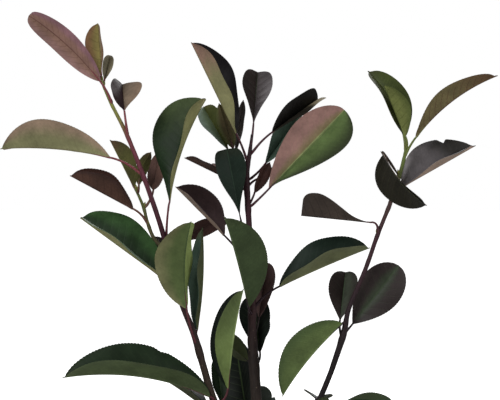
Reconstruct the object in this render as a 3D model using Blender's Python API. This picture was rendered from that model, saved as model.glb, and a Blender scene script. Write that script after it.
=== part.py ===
"""Young photinia shrub: a short trunk, three boughs and ten masses of leaves, each its own solid.

Lengths and places in the lists are millimetres and angles are degrees. MM turns lengths into metres.
The trunk's foot is cut flat on the ground at the origin, +Z is up and the front looks towards -Y.
"""
import math
import random
from collections import namedtuple

import bmesh
import bpy
from mathutils import Vector
from mathutils.bvhtree import BVHTree

MM = 0.001

# Clear space left between two pieces that meet.
GAP = 0.3

# Eye from which the front sizes were read: what lies further back is spread in step with its depth.
EYE = Vector((-8, -2000, 324))

# Below this height the front view is free, and above it spare leaves hide behind the leaves in front.
FREE_BELOW = 150

# Trunk: radius up its height, with a flare of blunt lobes at the ground.
TRUNK_TOP = 62
FLARE_RADIUS = 6.5
FLARE_HEIGHT = 11
FLARE_LOBES = 5
FLARE_LOBE_DEPTH = 0.16

# Sides of a limb and of a leaf stalk, and the length of one step along them.
TRUNK_SIDES = 20
LIMB_SIDES = 10
LIMB_STEP = 14
STALK_SIDES = 4

# Leaf blade: stations along it, bluntness of its tip, thickness by length, rise of its arch, and its stalk.
STATIONS = (0.02, 0.13, 0.28, 0.45, 0.62, 0.78, 0.91, 0.995)
TIP_BLUNTNESS = 0.68
THICKNESS = 0.0125
ARCH = 0.05
STALK_RADIUS = 1.0

# Spare leaves, dealt out by a seeded rule to the sides that the front view does not settle.
SEED = 11
SPARE_TRIES = 220
SPARE_MOST_SHOWN = 0.1
SPARE_STALK = (9, 17)
SPARE_SLIMNESS = 0.22
LOWEST = 14

# Heading, rise and length of a spare leaf low on the shrub, and of one that hides at its back.
LOW_SPREAD, LOW_RISE, LOW_LENGTH = (-180, 180), (-18, 24), (62, 98)
BACK_SPREAD, BACK_RISE, BACK_LENGTH = (20, 160), (-10, 60), (42, 84)

# Limbs: places along each from the root end up, as x, depth, height and radius. The trunk is the foot of
# the middle limb.
LIMBS = {
    "middle": [(0, 0, 0, 8.2), (1, 0, 20, 8.0), (0, 1, 42, 7.4), (-1, 3, TRUNK_TOP, 6.2), (0, 8, 105, 5.2),
               (-3, 14, 156, 4.8), (-6, 20, 202, 4.0), (-6, 24, 240, 3.3), (-9, 30, 304, 2.7),
               (-11, 33, 345, 2.5), (-8, 35, 368, 1.7), (-6, 36, 384, 1.2)],
    "left": [(-1, 1, 34, 4.6), (-15, -2, 74, 4.3), (-31, -7, 114, 3.8), (-45, -12, 157, 3.3),
             (-58, -17, 202, 3.0), (-71, -22, 236, 2.6), (-87, -30, 296, 2.3), (-103, -37, 343, 2.1),
             (-119, -42, 383, 1.8), (-134, -45, 413, 1.4), (-142, -47, 432, 1.0)],
    "right": [(1, 1, 40, 4.1), (17, -2, 76, 3.8), (40, -5, 116, 3.2), (60, -8, 157, 2.5),
              (75.5, -10, 201, 2.8), (81, -11, 226, 2.1), (96, -12, 262, 2.0), (107, -13, 293, 1.9),
              (119, -13, 323, 1.8), (128, -12, 351, 1.7), (133, -11, 372, 1.2)],
    "side": [(-82, -28, 277, 1.9), (-94, -28, 289, 1.7), (-100, -26, 303, 1.5), (-104, -24, 318, 1.4),
             (-111, -21, 334, 1.0)],
    "spur": [(-11, 34, 356, 1.9), (-17, 34, 361, 1.4), (-24, 33, 366, 1.0)],
}

# Boughs and masses: the limb that each is a stretch of, and the heights where that stretch begins and ends.
BOUGHS = {
    "left_bough": ("left", 34, 100), "middle_bough": ("middle", TRUNK_TOP, 92),
    "right_bough": ("right", 40, 100),
}
MASSES = {
    "left_low_leaves": ("left", 100, 215), "left_middle_leaves": ("left", 215, 330),
    "left_top_leaves": ("left", 330, 432), "left_side_leaves": ("side", 277, 334),
    "middle_low_leaves": ("middle", 92, 209), "middle_leaves": ("middle", 209, 307),
    "middle_top_leaves": ("middle", 307, 384), "right_low_leaves": ("right", 100, 240),
    "right_middle_leaves": ("right", 240, 329), "right_top_leaves": ("right", 329, 372),
}
SPARE_LEAVES = {
    "left_low_leaves": 7, "left_middle_leaves": 5, "left_top_leaves": 3, "left_side_leaves": 2,
    "middle_low_leaves": 7, "middle_leaves": 6, "middle_top_leaves": 4, "right_low_leaves": 8,
    "right_middle_leaves": 4, "right_top_leaves": 3,
}

# Leaves that show from the front. root is the height on the limb, base and tip are x and height of the
# blade's two ends, depth is how far each end lies behind the limb there, half is the half width, turn is
# 0 where the upper side faces front and 180 where the underside does, fold lifts each half from flat,
# bow carries the midrib to the left of a line from base to tip, and broad is the place of greatest width,
# or a pair of them for the left and right halves. blunt is 1 for a plain tip, less for a broad one and
# more for a slim one.
Leaf = namedtuple("Leaf", "limb root base tip depth half turn fold bow broad blunt", defaults=(0, 0.56, 1))
LEAVES = {
    "left_low_leaves": [
        Leaf("left", 190, (-65, 226), (-61, 305), (-10, -32), 27, 227, 32, 4),
        Leaf("left", 187, (-56, 206), (-51, 299), (4, 20), 15, -66, 40, -3),
        Leaf("left", 141, (-44, 147), (-177, 164), (-8, -36), 29, 70, 53, -10, 0.52),
        Leaf("left", 139, (-28, 154), (-14, 244), (3, 12), 24, -80, 52, 2),
        Leaf("left", 122, (-33, 140), (-38, 182), (10, 30), 10, 20, 30),
    ],
    "left_middle_leaves": [
        Leaf("left", 283, (-81, 320), (-48, 414), (2, 24), 35, -60, 38, 5, 0.7),
        Leaf("left", 241, (-89, 256), (-161, 308), (3, 17), 28.5, 61, 37.5, 0, 0.5, 0.6),
    ],
    "left_side_leaves": [
        Leaf("side", 332, (-112, 335), (-134, 378), (2, 16), 14, 125, 35),
        Leaf("side", 330, (-108, 337), (-97, 367), (-6, -4), 8, 180, 45, 3),
        Leaf("side", 316, (-95, 333), (-91, 367), (10, 30), 9, 180, 35),
        Leaf("side", 300, (-113, 316), (-170, 346), (-2, -10), 22, 85, 50),
    ],
    "left_top_leaves": [
        Leaf("left", 407, (-143, 431), (-207, 490), (-8, -42), 11.5, 180, 16, -3.5, 0.5, 0.5),
        Leaf("left", 427, (-142, 436), (-145, 483), (2, 3), 13.5, 235, 27, 0, 0.56, 0.7),
        Leaf("left", 423, (-139, 432), (-134, 454), (10, 27), 6, 5, 37),
        Leaf("left", 379, (-121, 404), (-123, 428), (0, 34), 18.5, 26, 37, 0, (0.3, 0.66), 0.7),
        Leaf("left", 344, (-133, 362), (-233, 370), (-3, -15), 27, 123, 36, -4, 0.6),
    ],
    "middle_low_leaves": [
        Leaf("middle", 195, (0, 218), (7, 268), (10, 44), 13, 0, 42),
        Leaf("middle", 172, (1, 187), (-5, 238), (11, 46), 17, -5, 35),
        Leaf("middle", 103, (-8, 115), (-21, 198), (15, 66), 24, -35, 25),
        Leaf("middle", 176, (-9, 179), (-38, 203), (3, 14), 13, 135, 15),
    ],
    "middle_leaves": [
        Leaf("middle", 220, (-9, 227), (-31, 309), (-9, -38), 29, 127, 37, -1, 0.58),
        Leaf("middle", 223, (18, 246), (100, 281), (-2, 6), 26, -68, 48, 1),
        Leaf("middle", 262, (-31, 292), (-75, 336), (3, 12), 22, 62, 37),
        Leaf("middle", 292, (-16, 305), (-29, 370), (-4, -12), 14.5, 10, 15, 0, 0.76, 0.35),
        Leaf("middle", 284, (-27, 304), (-68, 288), (12, 20), 9, 185, 30, -4),
    ],
    "middle_top_leaves": [
        Leaf("middle", 316, (9, 334), (77, 405), (-4, -32), 27, 180, 27, 0, (0.7, 0.57)),
        Leaf("middle", 318, (-4, 330), (10, 358), (2, 3), 7, 30, 30, 1),
        Leaf("middle", 331, (-27, 343), (-67, 362), (4, 16), 13, 98, 16),
        Leaf("middle", 341, (6, 357), (37, 401), (10, 54), 15, 0, 40),
        Leaf("middle", 357, (-20, 383), (-61, 466), (-4, -12), 26, 75, 45.5, 0, 0.6),
        Leaf("middle", 363, (12, 385), (53, 414), (3, 40), 17.5, -20, 58, 0, 0.5, 0.2),
        Leaf("middle", 370, (-5, 391), (-1, 439), (2, 22), 17, 4, 35, 0, 0.72, 0.6),
        Leaf("spur", 364, (-27, 368), (-50, 408), (8, 34), 13, 5, 38, 0, 0.66),
        Leaf("spur", 364, (-23, 370), (-36, 411), (-2, 6), 9, 180, 40),
        Leaf("spur", 362, (-21, 366), (-14, 414), (5, 30), 5, 0, 40),
    ],
    "right_low_leaves": [
        Leaf("right", 200, (73, 216), (78, 259), (11, 38), 15.5, -10, 33, 0, 0.6, 0.8),
        Leaf("right", 203, (84, 212), (126, 265), (8, 12), 20, -8, 8, 0, 0.6, 0.8),
        Leaf("right", 203, (75, 213), (21, 147), (-4, -22), 26, 121, 36, -3, 0.5),
    ],
    "right_middle_leaves": [
        Leaf("right", 292, (102, 304), (38, 310), (-4, 10), 23.5, 122, 35, 0, 0.78, 0.3),
        Leaf("right", 316, (129, 336), (195, 373), (7, 28), 27, -59, 40, 0, 0.5, 1.6),
    ],
    "right_top_leaves": [
        Leaf("right", 366, (130, 383), (98, 440), (6, 26), 17, 38, 30, -5, 0.52),
        Leaf("right", 369, (132, 381), (113, 427), (-5, -18), 15, 120, 37),
        Leaf("right", 360, (141, 380), (215, 436), (-3, -17), 19, 253, 27, 6.5),
        Leaf("right", 345, (112, 365), (151, 319), (-6, -42), 21, 59, 32, -4, 0.4),
    ],
}

# Colour, roughness and metallic value of each sub-part's own material.
BARK = ((0.16, 0.11, 0.09), 0.85, 0.0)
LOW_LEAF = ((0.08, 0.13, 0.05), 0.4, 0.0)
MIDDLE_LEAF = ((0.13, 0.15, 0.07), 0.4, 0.0)
TOP_LEAF = ((0.24, 0.15, 0.12), 0.4, 0.0)


def clear_scene():
    """Remove what the file starts with."""
    for item in list(bpy.data.objects):
        bpy.data.objects.remove(item, do_unlink=True)


def spread(x, y, z):
    """Place a point whose x and height were read from the front, at its depth y."""
    far = 1 + y / -EYE.y
    return Vector((EYE.x + (x - EYE.x) * far, y, EYE.z + (z - EYE.z) * far))


def smooth_route(knots, steps=10):
    """Read a Catmull-Rom curve through the knots, each a place with its radius."""
    rows = [(*spread(x, y, z), radius) for x, y, z, radius in knots]
    rows = [rows[0]] + rows + [rows[-1]]
    route = []
    for k in range(1, len(rows) - 2):
        p0, p1, p2, p3 = rows[k - 1:k + 3]
        for j in range(steps):
            t = j / steps
            terms = zip(p0, p1, p2, p3)
            route.append([0.5 * (2 * b + (c - a) * t + (2 * a - 5 * b + 4 * c - d) * t ** 2
                                 + (3 * b - a - 3 * c + d) * t ** 3) for a, b, c, d in terms])
    route.append(list(rows[-2]))
    return [(Vector(row[:3]), row[3]) for row in route]


class Limb:
    """A limb's smooth middle line, which can be asked for the place and radius at any length."""

    def __init__(self, knots):
        self.route = smooth_route(knots)
        self.lengths = [0.0]
        for (a, _), (b, _) in zip(self.route, self.route[1:]):
            self.lengths.append(self.lengths[-1] + (b - a).length)

    def at(self, length):
        length = min(max(length, 0.0), self.lengths[-1])
        k = max(i for i, value in enumerate(self.lengths[:-1]) if value <= length)
        share = (length - self.lengths[k]) / (self.lengths[k + 1] - self.lengths[k])
        (a, ra), (b, rb) = self.route[k], self.route[k + 1]
        return a.lerp(b, share), ra + (rb - ra) * share

    def station(self, length):
        """Place, radius and direction at a length, for one ring of a tube."""
        place, radius = self.at(length)
        return place, radius, (self.at(length + 2)[0] - self.at(length - 2)[0]).normalized()

    def length_at(self, height):
        for k, ((a, _), (b, _)) in enumerate(zip(self.route, self.route[1:])):
            if b.z >= height or k == len(self.route) - 2:
                share = min(max((height - a.z) / (b.z - a.z), 0.0), 1.0)
                return self.lengths[k] + share * (self.lengths[k + 1] - self.lengths[k])
        return self.lengths[-1]

    def stretch(self, low, high, step=LIMB_STEP):
        """Places and radii from one height to another, both ends drawn in by half the gap."""
        start = self.length_at(low) + GAP / 2
        end = self.length_at(high) - GAP / 2
        count = max(2, round((end - start) / step))
        return [self.station(start + (end - start) * k / count) for k in range(count + 1)]


def tube(stations, sides, swell=None):
    """Make a closed tube along places with radii and directions, its rings carried on without twist."""
    bm = bmesh.new()
    side = Vector((1, 0, 0))
    rings = []
    for place, radius, ahead in stations:
        side = (side - ahead * side.dot(ahead)).normalized()
        across = ahead.cross(side)
        ring = []
        for j in range(sides):
            angle = 2 * math.pi * j / sides
            reach = radius * (swell(place, angle) if swell else 1)
            out = side * math.cos(angle) + across * math.sin(angle)
            ring.append(bm.verts.new((place + out * reach) * MM))
        rings.append(ring)
    for low, high in zip(rings, rings[1:]):
        for j in range(sides):
            bm.faces.new((low[j], low[(j + 1) % sides], high[(j + 1) % sides], high[j]))
    bm.faces.new(list(reversed(rings[0])))
    bm.faces.new(rings[-1])
    bmesh.ops.recalc_face_normals(bm, faces=bm.faces)
    return bm


def blade_width(t, broad, blunt):
    """Share of the full half width at a share t of the blade's length."""
    rise = TIP_BLUNTNESS * broad / (1 - broad)
    peak = broad ** rise * (1 - broad) ** TIP_BLUNTNESS
    share = t ** rise * (1 - t) ** TIP_BLUNTNESS / peak
    return share ** blunt if t > broad else share


def halves(broad):
    """Give the place of greatest width of each half, by its hand."""
    left, right = broad if isinstance(broad, tuple) else (broad, broad)
    return {-1: left, 1: right}


def blade_frames(base, tip, toward, turn, bow, stations):
    """Give the midrib's place, direction, upper normal and right-hand side at each station."""
    chord = tip - base
    front = (toward - chord * toward.dot(chord) / chord.length_squared).normalized()
    left = front.cross(chord).normalized()
    angle = math.radians(turn)
    middle = (base + tip) / 2 + left * bow * 2 + front * chord.length * ARCH * 2 * math.cos(angle)
    frames = []
    for t in stations:
        place = base * (1 - t) ** 2 + middle * 2 * t * (1 - t) + tip * t ** 2
        ahead = ((middle - base) * (1 - t) + (tip - middle) * t).normalized()
        facing = (front - ahead * front.dot(ahead)).normalized()
        right = ahead.cross(facing)
        normal = facing * math.cos(angle) + right * math.sin(angle)
        frames.append((place, ahead, normal, ahead.cross(normal)))
    return frames


def blade(frames, length, half, fold, broad, blunt, extra=0.0):
    """Make one leaf blade, two halves lifted from its midrib, as a closed solid."""
    bm = bmesh.new()
    lift = math.radians(fold)
    thick = length * THICKNESS + extra
    rings = []
    for t, (place, _, normal, right) in zip(STATIONS, frames):
        place = place + normal * thick / 2
        ring = [place, place - normal * thick / math.cos(lift)]
        for hand in (1, -1):
            outward = right * math.cos(lift) * hand + normal * math.sin(lift)
            upward = normal * math.cos(lift) - right * math.sin(lift) * hand
            reach = max(half * blade_width(t, halves(broad)[hand], blunt), 0.6) + extra / 2
            ring += [place + outward * reach, place + outward * reach - upward * thick]
        rings.append([bm.verts.new(point * MM) for point in ring])
    loop = (0, 2, 3, 1, 5, 4)
    for near, far in zip(rings, rings[1:]):
        for a, b in zip(loop, loop[1:] + loop[:1]):
            bm.faces.new((near[a], near[b], far[b], far[a]))
    for ring in (rings[0], rings[-1]):
        bm.faces.new((ring[0], ring[2], ring[3], ring[1]))
        bm.faces.new((ring[0], ring[1], ring[5], ring[4]))
    bmesh.ops.recalc_face_normals(bm, faces=bm.faces)
    return bm


def stalk(root, frames):
    """Make a leaf's stalk from the limb's middle line to well inside the blade."""
    base, ahead = frames[0][0], frames[0][1]
    bend = base - ahead * (base - root).length * 0.5
    stations = []
    for t in (0, 0.35, 0.7, 1):
        place = root * (1 - t) ** 2 + bend * 2 * t * (1 - t) + base * t ** 2
        along = ((bend - root) * (1 - t) + (base - bend) * t).normalized()
        stations.append((place, STALK_RADIUS * (1.15 - 0.25 * t), along))
    stations.append((frames[1][0], STALK_RADIUS * 0.7, frames[1][1]))
    return tube(stations, STALK_SIDES)


def leaf_solids(shape, extra=0.0):
    """Give one leaf's stalk and blade from its shape."""
    root, base, tip, toward, half, turn, fold, bow, broad, blunt = shape
    frames = blade_frames(base, tip, toward, turn, bow, STATIONS)
    return stalk(root, frames), blade(frames, (tip - base).length, half, fold, broad, blunt, extra)


def listed_shape(leaf, limbs):
    """Give the shape of a leaf that shows from the front."""
    limb = limbs[leaf.limb]
    root, _ = limb.at(limb.length_at(leaf.root))
    base = spread(leaf.base[0], root.y + leaf.depth[0], leaf.base[1])
    tip = spread(leaf.tip[0], root.y + leaf.depth[1], leaf.tip[1])
    return (root, base, tip, Vector((0, -1, 0)), *leaf[5:])


def spare_shape(limb, low, high, dice):
    """Throw the dice for the shape of a leaf of the sides and the back."""
    start, end = limb.length_at(low) + 6, limb.length_at(high) - 6
    root, _ = limb.at(dice.uniform(start, end))
    free = root.z < FREE_BELOW
    heading = math.radians(dice.uniform(*(LOW_SPREAD if free else BACK_SPREAD)))
    rise = math.radians(dice.uniform(*(LOW_RISE if free else BACK_RISE)))
    length = dice.uniform(*(LOW_LENGTH if free else BACK_LENGTH))
    away = Vector((math.cos(heading), math.sin(heading), 0))
    base = root + away * dice.uniform(*SPARE_STALK) + Vector((0, 0, 8))
    tip = base + (away * math.cos(rise) + Vector((0, 0, math.sin(rise)))) * length
    turn, fold, bow = dice.uniform(-25, 25), dice.uniform(18, 36), dice.uniform(-4, 4)
    half = length * SPARE_SLIMNESS * dice.uniform(0.9, 1.12)
    return (root, base, tip, Vector((0, 0, 1)), half, turn, fold, bow, dice.uniform(0.5, 0.62), 1)


def tree_of(bm):
    """Give a search tree of a mesh's faces."""
    return BVHTree.FromBMesh(bm)


def share_shown(bm, trees):
    """Give the share of a leaf's corners that show from the front and stand above the free height."""
    eye = EYE * MM
    shown = 0
    for vert in bm.verts:
        toward = eye - vert.co
        hidden = any(tree.ray_cast(vert.co, toward.normalized(), toward.length)[0] for tree in trees)
        shown += vert.co.z > FREE_BELOW * MM and not hidden
    return shown / len(bm.verts)


def grow_leaves(limbs):
    """Place the listed leaves, then the spare ones that keep clear of all others and of the view."""
    stretches = list(BOUGHS.values()) + list(MASSES.values())
    limb_trees = [tree_of(tube(limbs[limb].stretch(low, high), LIMB_SIDES)) for limb, low, high in stretches]
    shapes = {name: [listed_shape(leaf, limbs) for leaf in LEAVES[name]] for name in MASSES}
    pairs = [leaf_solids(shape) for listed in shapes.values() for shape in listed]
    trees = [tree_of(bm) for pair in pairs for bm in pair]
    blades = [tree_of(leaf) for _, leaf in pairs]
    dice = random.Random(SEED)
    for name, (limb_name, low, high) in MASSES.items():
        wanted = len(shapes[name]) + SPARE_LEAVES[name]
        for _ in range(SPARE_TRIES):
            shape = spare_shape(limbs[limb_name], low, high, dice)
            (stem, leaf), (_, swollen) = leaf_solids(shape), leaf_solids(shape, extra=4 * GAP)
            swollen_tree, stem_tree = tree_of(swollen), tree_of(stem)
            too_low = min(vert.co.z for vert in leaf.verts) < LOWEST * MM
            if too_low or share_shown(leaf, blades) > SPARE_MOST_SHOWN:
                continue
            if any(swollen_tree.overlap(tree) for tree in trees + limb_trees):
                continue
            if any(stem_tree.overlap(tree) for tree in trees):
                continue
            shapes[name].append(shape)
            trees += [stem_tree, tree_of(leaf)]
            blades.append(tree_of(leaf))
            if len(shapes[name]) == wanted:
                break
    return shapes


def new_object(name, bm, collection=None):
    """Turn a bmesh into an object."""
    mesh = bpy.data.meshes.new(name)
    bm.to_mesh(mesh)
    bm.free()
    item = bpy.data.objects.new(name, mesh)
    (collection or bpy.context.scene.collection).objects.link(item)
    return item


def paint(item, look):
    """Give an object its own material and shade it smooth up to its sharp edges."""
    colour, roughness, metallic = look
    material = bpy.data.materials.new(item.name)
    material.use_nodes = True
    shader = material.node_tree.nodes["Principled BSDF"]
    shader.inputs["Base Color"].default_value = (*colour, 1)
    shader.inputs["Roughness"].default_value = roughness
    shader.inputs["Metallic"].default_value = metallic
    item.data.materials.clear()
    item.data.materials.append(material)
    item.data.shade_smooth()
    item.data.set_sharp_from_angle(angle=math.radians(35))


def apply_boolean(item, operation, others):
    """Join or cut an object with a collection of others, which are then removed."""
    group = bpy.data.collections.new(item.name + "_others")
    bpy.context.scene.collection.children.link(group)
    for k, bm in enumerate(others):
        new_object(f"{item.name}_{k}", bm, group)
    modifier = item.modifiers.new("Boolean", "BOOLEAN")
    modifier.operation = operation
    modifier.solver = "EXACT"
    modifier.operand_type = "COLLECTION"
    modifier.collection = group
    bpy.context.view_layer.update()
    shape = bpy.data.meshes.new_from_object(item.evaluated_get(bpy.context.evaluated_depsgraph_get()))
    item.modifiers.clear()
    item.data = shape
    for other in list(group.objects):
        bpy.data.objects.remove(other, do_unlink=True)
    bpy.data.collections.remove(group)


def keep_largest(item):
    """Keep the largest closed shell, which fills sealed hollows and drops loose scraps."""
    bm = bmesh.new()
    bm.from_mesh(item.data)
    bmesh.ops.remove_doubles(bm, verts=bm.verts, dist=0.00001)
    bmesh.ops.triangulate(bm, faces=bm.faces)
    shells, left = [], set(bm.faces)
    while left:
        stack, shell = [left.pop()], []
        while stack:
            face = stack.pop()
            shell.append(face)
            near = {other for edge in face.edges for other in edge.link_faces if other in left}
            left -= near
            stack.extend(near)
        shells.append(shell)
    shells.sort(key=len)
    for shell in shells[:-1]:
        bmesh.ops.delete(bm, geom=shell, context="FACES")
    bmesh.ops.delete(bm, geom=[vert for vert in bm.verts if not vert.link_faces], context="VERTS")
    bm.to_mesh(item.data)
    bm.free()


def flare(place, angle):
    """Swell the trunk's foot into blunt lobes that die out upwards."""
    strength = math.exp(-place.z / FLARE_HEIGHT)
    lobe = 1 + FLARE_LOBE_DEPTH * math.cos(FLARE_LOBES * angle + 0.6) * strength * 2
    return (1 + FLARE_RADIUS / 8 * strength) * lobe


def trunk_stations(limb):
    """Places and radii up the trunk, closer together in the flare."""
    top = limb.length_at(TRUNK_TOP) - GAP / 2
    return [limb.station(top * share) for share in (0, 0.05, 0.11, 0.18, 0.27, 0.4, 0.6, 0.8, 1)]


def widened(stations):
    """Give the same limb wider by the gap, to cut a clear seat with."""
    return [(place, radius + GAP * 1.3, ahead) for place, radius, ahead in stations]


def trunk_mesh(limb, wider=0.0):
    """Make the trunk from its foot, cut flat on the ground, to the fork."""
    stations = [(place, radius + wider, ahead) for place, radius, ahead in trunk_stations(limb)]
    bm = tube(stations, TRUNK_SIDES, flare)
    for vert in bm.verts:
        vert.co.z = 0.0 if vert.co.z < 0.0005 else vert.co.z
    return bm


def make_boughs(limbs):
    """Make each bough, the outer two seated clear of the trunk and of the middle one."""
    for name, (limb_name, low, high) in BOUGHS.items():
        bough = new_object(name, tube(limbs[limb_name].stretch(low, high, 9), LIMB_SIDES))
        if limb_name != "middle":
            seats = [trunk_mesh(limbs["middle"], GAP * 1.3)]
            seats.append(tube(widened(limbs["middle"].stretch(TRUNK_TOP, 92, 9)), LIMB_SIDES))
            apply_boolean(bough, "DIFFERENCE", seats)
            keep_largest(bough)
        paint(bough, BARK)


def make_masses(limbs, shapes):
    """Make each mass of leaves as one closed body."""
    for name, (limb_name, low, high) in MASSES.items():
        mass = new_object(name, tube(limbs[limb_name].stretch(low, high), LIMB_SIDES))
        if limb_name == "side":
            seat = widened(limbs["left"].stretch(215, 330))
            apply_boolean(mass, "DIFFERENCE", [tube(seat, LIMB_SIDES)])
            keep_largest(mass)
        others = [bm for shape in shapes[name] for bm in leaf_solids(shape)]
        if name == "middle_top_leaves":
            others.append(tube(limbs["spur"].stretch(356, 366, 5), 8))
        apply_boolean(mass, "UNION", others)
        keep_largest(mass)
        look = TOP_LEAF if "top" in name else LOW_LEAF if "low" in name else MIDDLE_LEAF
        paint(mass, look)


def main():
    clear_scene()
    limbs = {name: Limb(knots) for name, knots in LIMBS.items()}
    shapes = grow_leaves(limbs)
    paint(new_object("trunk", trunk_mesh(limbs["middle"])), BARK)
    make_boughs(limbs)
    make_masses(limbs, shapes)


main()
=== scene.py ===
"""Young photinia shrub, dressed: bark over the trunk and boughs, and twigs, stalks and toothed leaves.

Lengths and places in the lists are millimetres, heights start at the ground and angles are degrees. MM turns
lengths into metres. The leaves grow by the same rule, from the same sizes, as the masses that they replace.
"""
import functools
import math
import random
from collections import namedtuple

import bmesh
import bpy
from bpy.props import FloatProperty, FloatVectorProperty, PointerProperty
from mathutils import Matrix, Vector, noise
from mathutils.bvhtree import BVHTree


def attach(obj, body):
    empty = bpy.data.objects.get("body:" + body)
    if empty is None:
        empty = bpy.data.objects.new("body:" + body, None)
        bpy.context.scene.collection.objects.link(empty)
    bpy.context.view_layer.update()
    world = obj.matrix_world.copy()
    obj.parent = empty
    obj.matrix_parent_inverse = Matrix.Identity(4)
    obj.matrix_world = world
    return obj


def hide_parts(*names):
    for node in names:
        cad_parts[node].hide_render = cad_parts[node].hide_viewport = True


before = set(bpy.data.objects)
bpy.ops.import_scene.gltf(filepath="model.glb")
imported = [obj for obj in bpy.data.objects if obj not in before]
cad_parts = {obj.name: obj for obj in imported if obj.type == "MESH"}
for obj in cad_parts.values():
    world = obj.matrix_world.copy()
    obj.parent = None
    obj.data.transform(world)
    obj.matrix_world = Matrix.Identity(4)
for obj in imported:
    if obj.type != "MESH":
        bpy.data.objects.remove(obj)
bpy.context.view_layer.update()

bl_info = {
    "name": "Young Photinia Shrub",
    "version": (1, 0, 0),
    "blender": (4, 5, 0),
    "location": "3D View > Sidebar > Shrub",
    "description": "Bark, twigs and glossy toothed leaves for a young evergreen shrub",
    "category": "Object",
}

MM = 0.001

# The rule that places limbs and leaves, the same as in the shrub's solids.
GAP = 0.3
EYE = Vector((-8, -2000, 324))
FREE_BELOW = 150
TRUNK_TOP = 62
TRUNK_RADIUS = 8
FLARE_RADIUS = 6.5
FLARE_HEIGHT = 11
FLARE_LOBES = 5
FLARE_LOBE_DEPTH = 0.16
LIMB_SIDES = 10
LIMB_STEP = 14
STALK_SIDES = 4
LEAST_REACH = 0.6
STATIONS = (0.02, 0.13, 0.28, 0.45, 0.62, 0.78, 0.91, 0.995)
TIP_BLUNTNESS = 0.68
THICKNESS = 0.0125
ARCH = 0.05
STALK_RADIUS = 1.0
SEED = 11
SPARE_TRIES = 220
SPARE_MOST_SHOWN = 0.1
SPARE_MARGIN = 6
SPARE_STALK = (9, 17)
SPARE_LIFT = 8
SPARE_SLIMNESS = 0.22
SPARE_TURN, SPARE_FOLD, SPARE_BOW = (-25, 25), (18, 36), (-4, 4)
SPARE_WIDTHS, SPARE_BROAD = (0.9, 1.12), (0.5, 0.62)
LOWEST = 14
LOW_SPREAD, LOW_RISE, LOW_LENGTH = (-180, 180), (-18, 24), (62, 98)
BACK_SPREAD, BACK_RISE, BACK_LENGTH = (20, 160), (-10, 60), (42, 84)

# Limbs: places along each from the root end up, as x, depth, height and radius. The trunk is the foot of
# the middle limb.
LIMBS = {
    "middle": [(0, 0, 0, 8.2), (1, 0, 20, 8.0), (0, 1, 42, 7.4), (-1, 3, TRUNK_TOP, 6.2), (0, 8, 105, 5.2),
               (-3, 14, 156, 4.8), (-6, 20, 202, 4.0), (-6, 24, 240, 3.3), (-9, 30, 304, 2.7),
               (-11, 33, 345, 2.5), (-8, 35, 368, 1.7), (-6, 36, 384, 1.2)],
    "left": [(-1, 1, 34, 4.6), (-15, -2, 74, 4.3), (-31, -7, 114, 3.8), (-45, -12, 157, 3.3),
             (-58, -17, 202, 3.0), (-71, -22, 236, 2.6), (-87, -30, 296, 2.3), (-103, -37, 343, 2.1),
             (-119, -42, 383, 1.8), (-134, -45, 413, 1.4), (-142, -47, 432, 1.0)],
    "right": [(1, 1, 40, 4.1), (17, -2, 76, 3.8), (40, -5, 116, 3.2), (60, -8, 157, 2.5),
              (75.5, -10, 201, 2.8), (81, -11, 226, 2.1), (96, -12, 262, 2.0), (107, -13, 293, 1.9),
              (119, -13, 323, 1.8), (128, -12, 351, 1.7), (133, -11, 372, 1.2)],
    "side": [(-82, -28, 277, 1.9), (-94, -28, 289, 1.7), (-100, -26, 303, 1.5), (-104, -24, 318, 1.4),
             (-111, -21, 334, 1.0)],
    "spur": [(-11, 34, 356, 1.9), (-17, 34, 361, 1.4), (-24, 33, 366, 1.0)],
}

# Boughs and masses: the limb that each is a stretch of, and the heights where that stretch begins and ends.
BOUGHS = {
    "left_bough": ("left", 34, 100), "middle_bough": ("middle", TRUNK_TOP, 92),
    "right_bough": ("right", 40, 100),
}
MASSES = {
    "left_low_leaves": ("left", 100, 215), "left_middle_leaves": ("left", 215, 330),
    "left_top_leaves": ("left", 330, 432), "left_side_leaves": ("side", 277, 334),
    "middle_low_leaves": ("middle", 92, 209), "middle_leaves": ("middle", 209, 307),
    "middle_top_leaves": ("middle", 307, 384), "right_low_leaves": ("right", 100, 240),
    "right_middle_leaves": ("right", 240, 329), "right_top_leaves": ("right", 329, 372),
}
SPARE_LEAVES = {
    "left_low_leaves": 7, "left_middle_leaves": 5, "left_top_leaves": 3, "left_side_leaves": 2,
    "middle_low_leaves": 7, "middle_leaves": 6, "middle_top_leaves": 4, "right_low_leaves": 8,
    "right_middle_leaves": 4, "right_top_leaves": 3,
}

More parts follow.
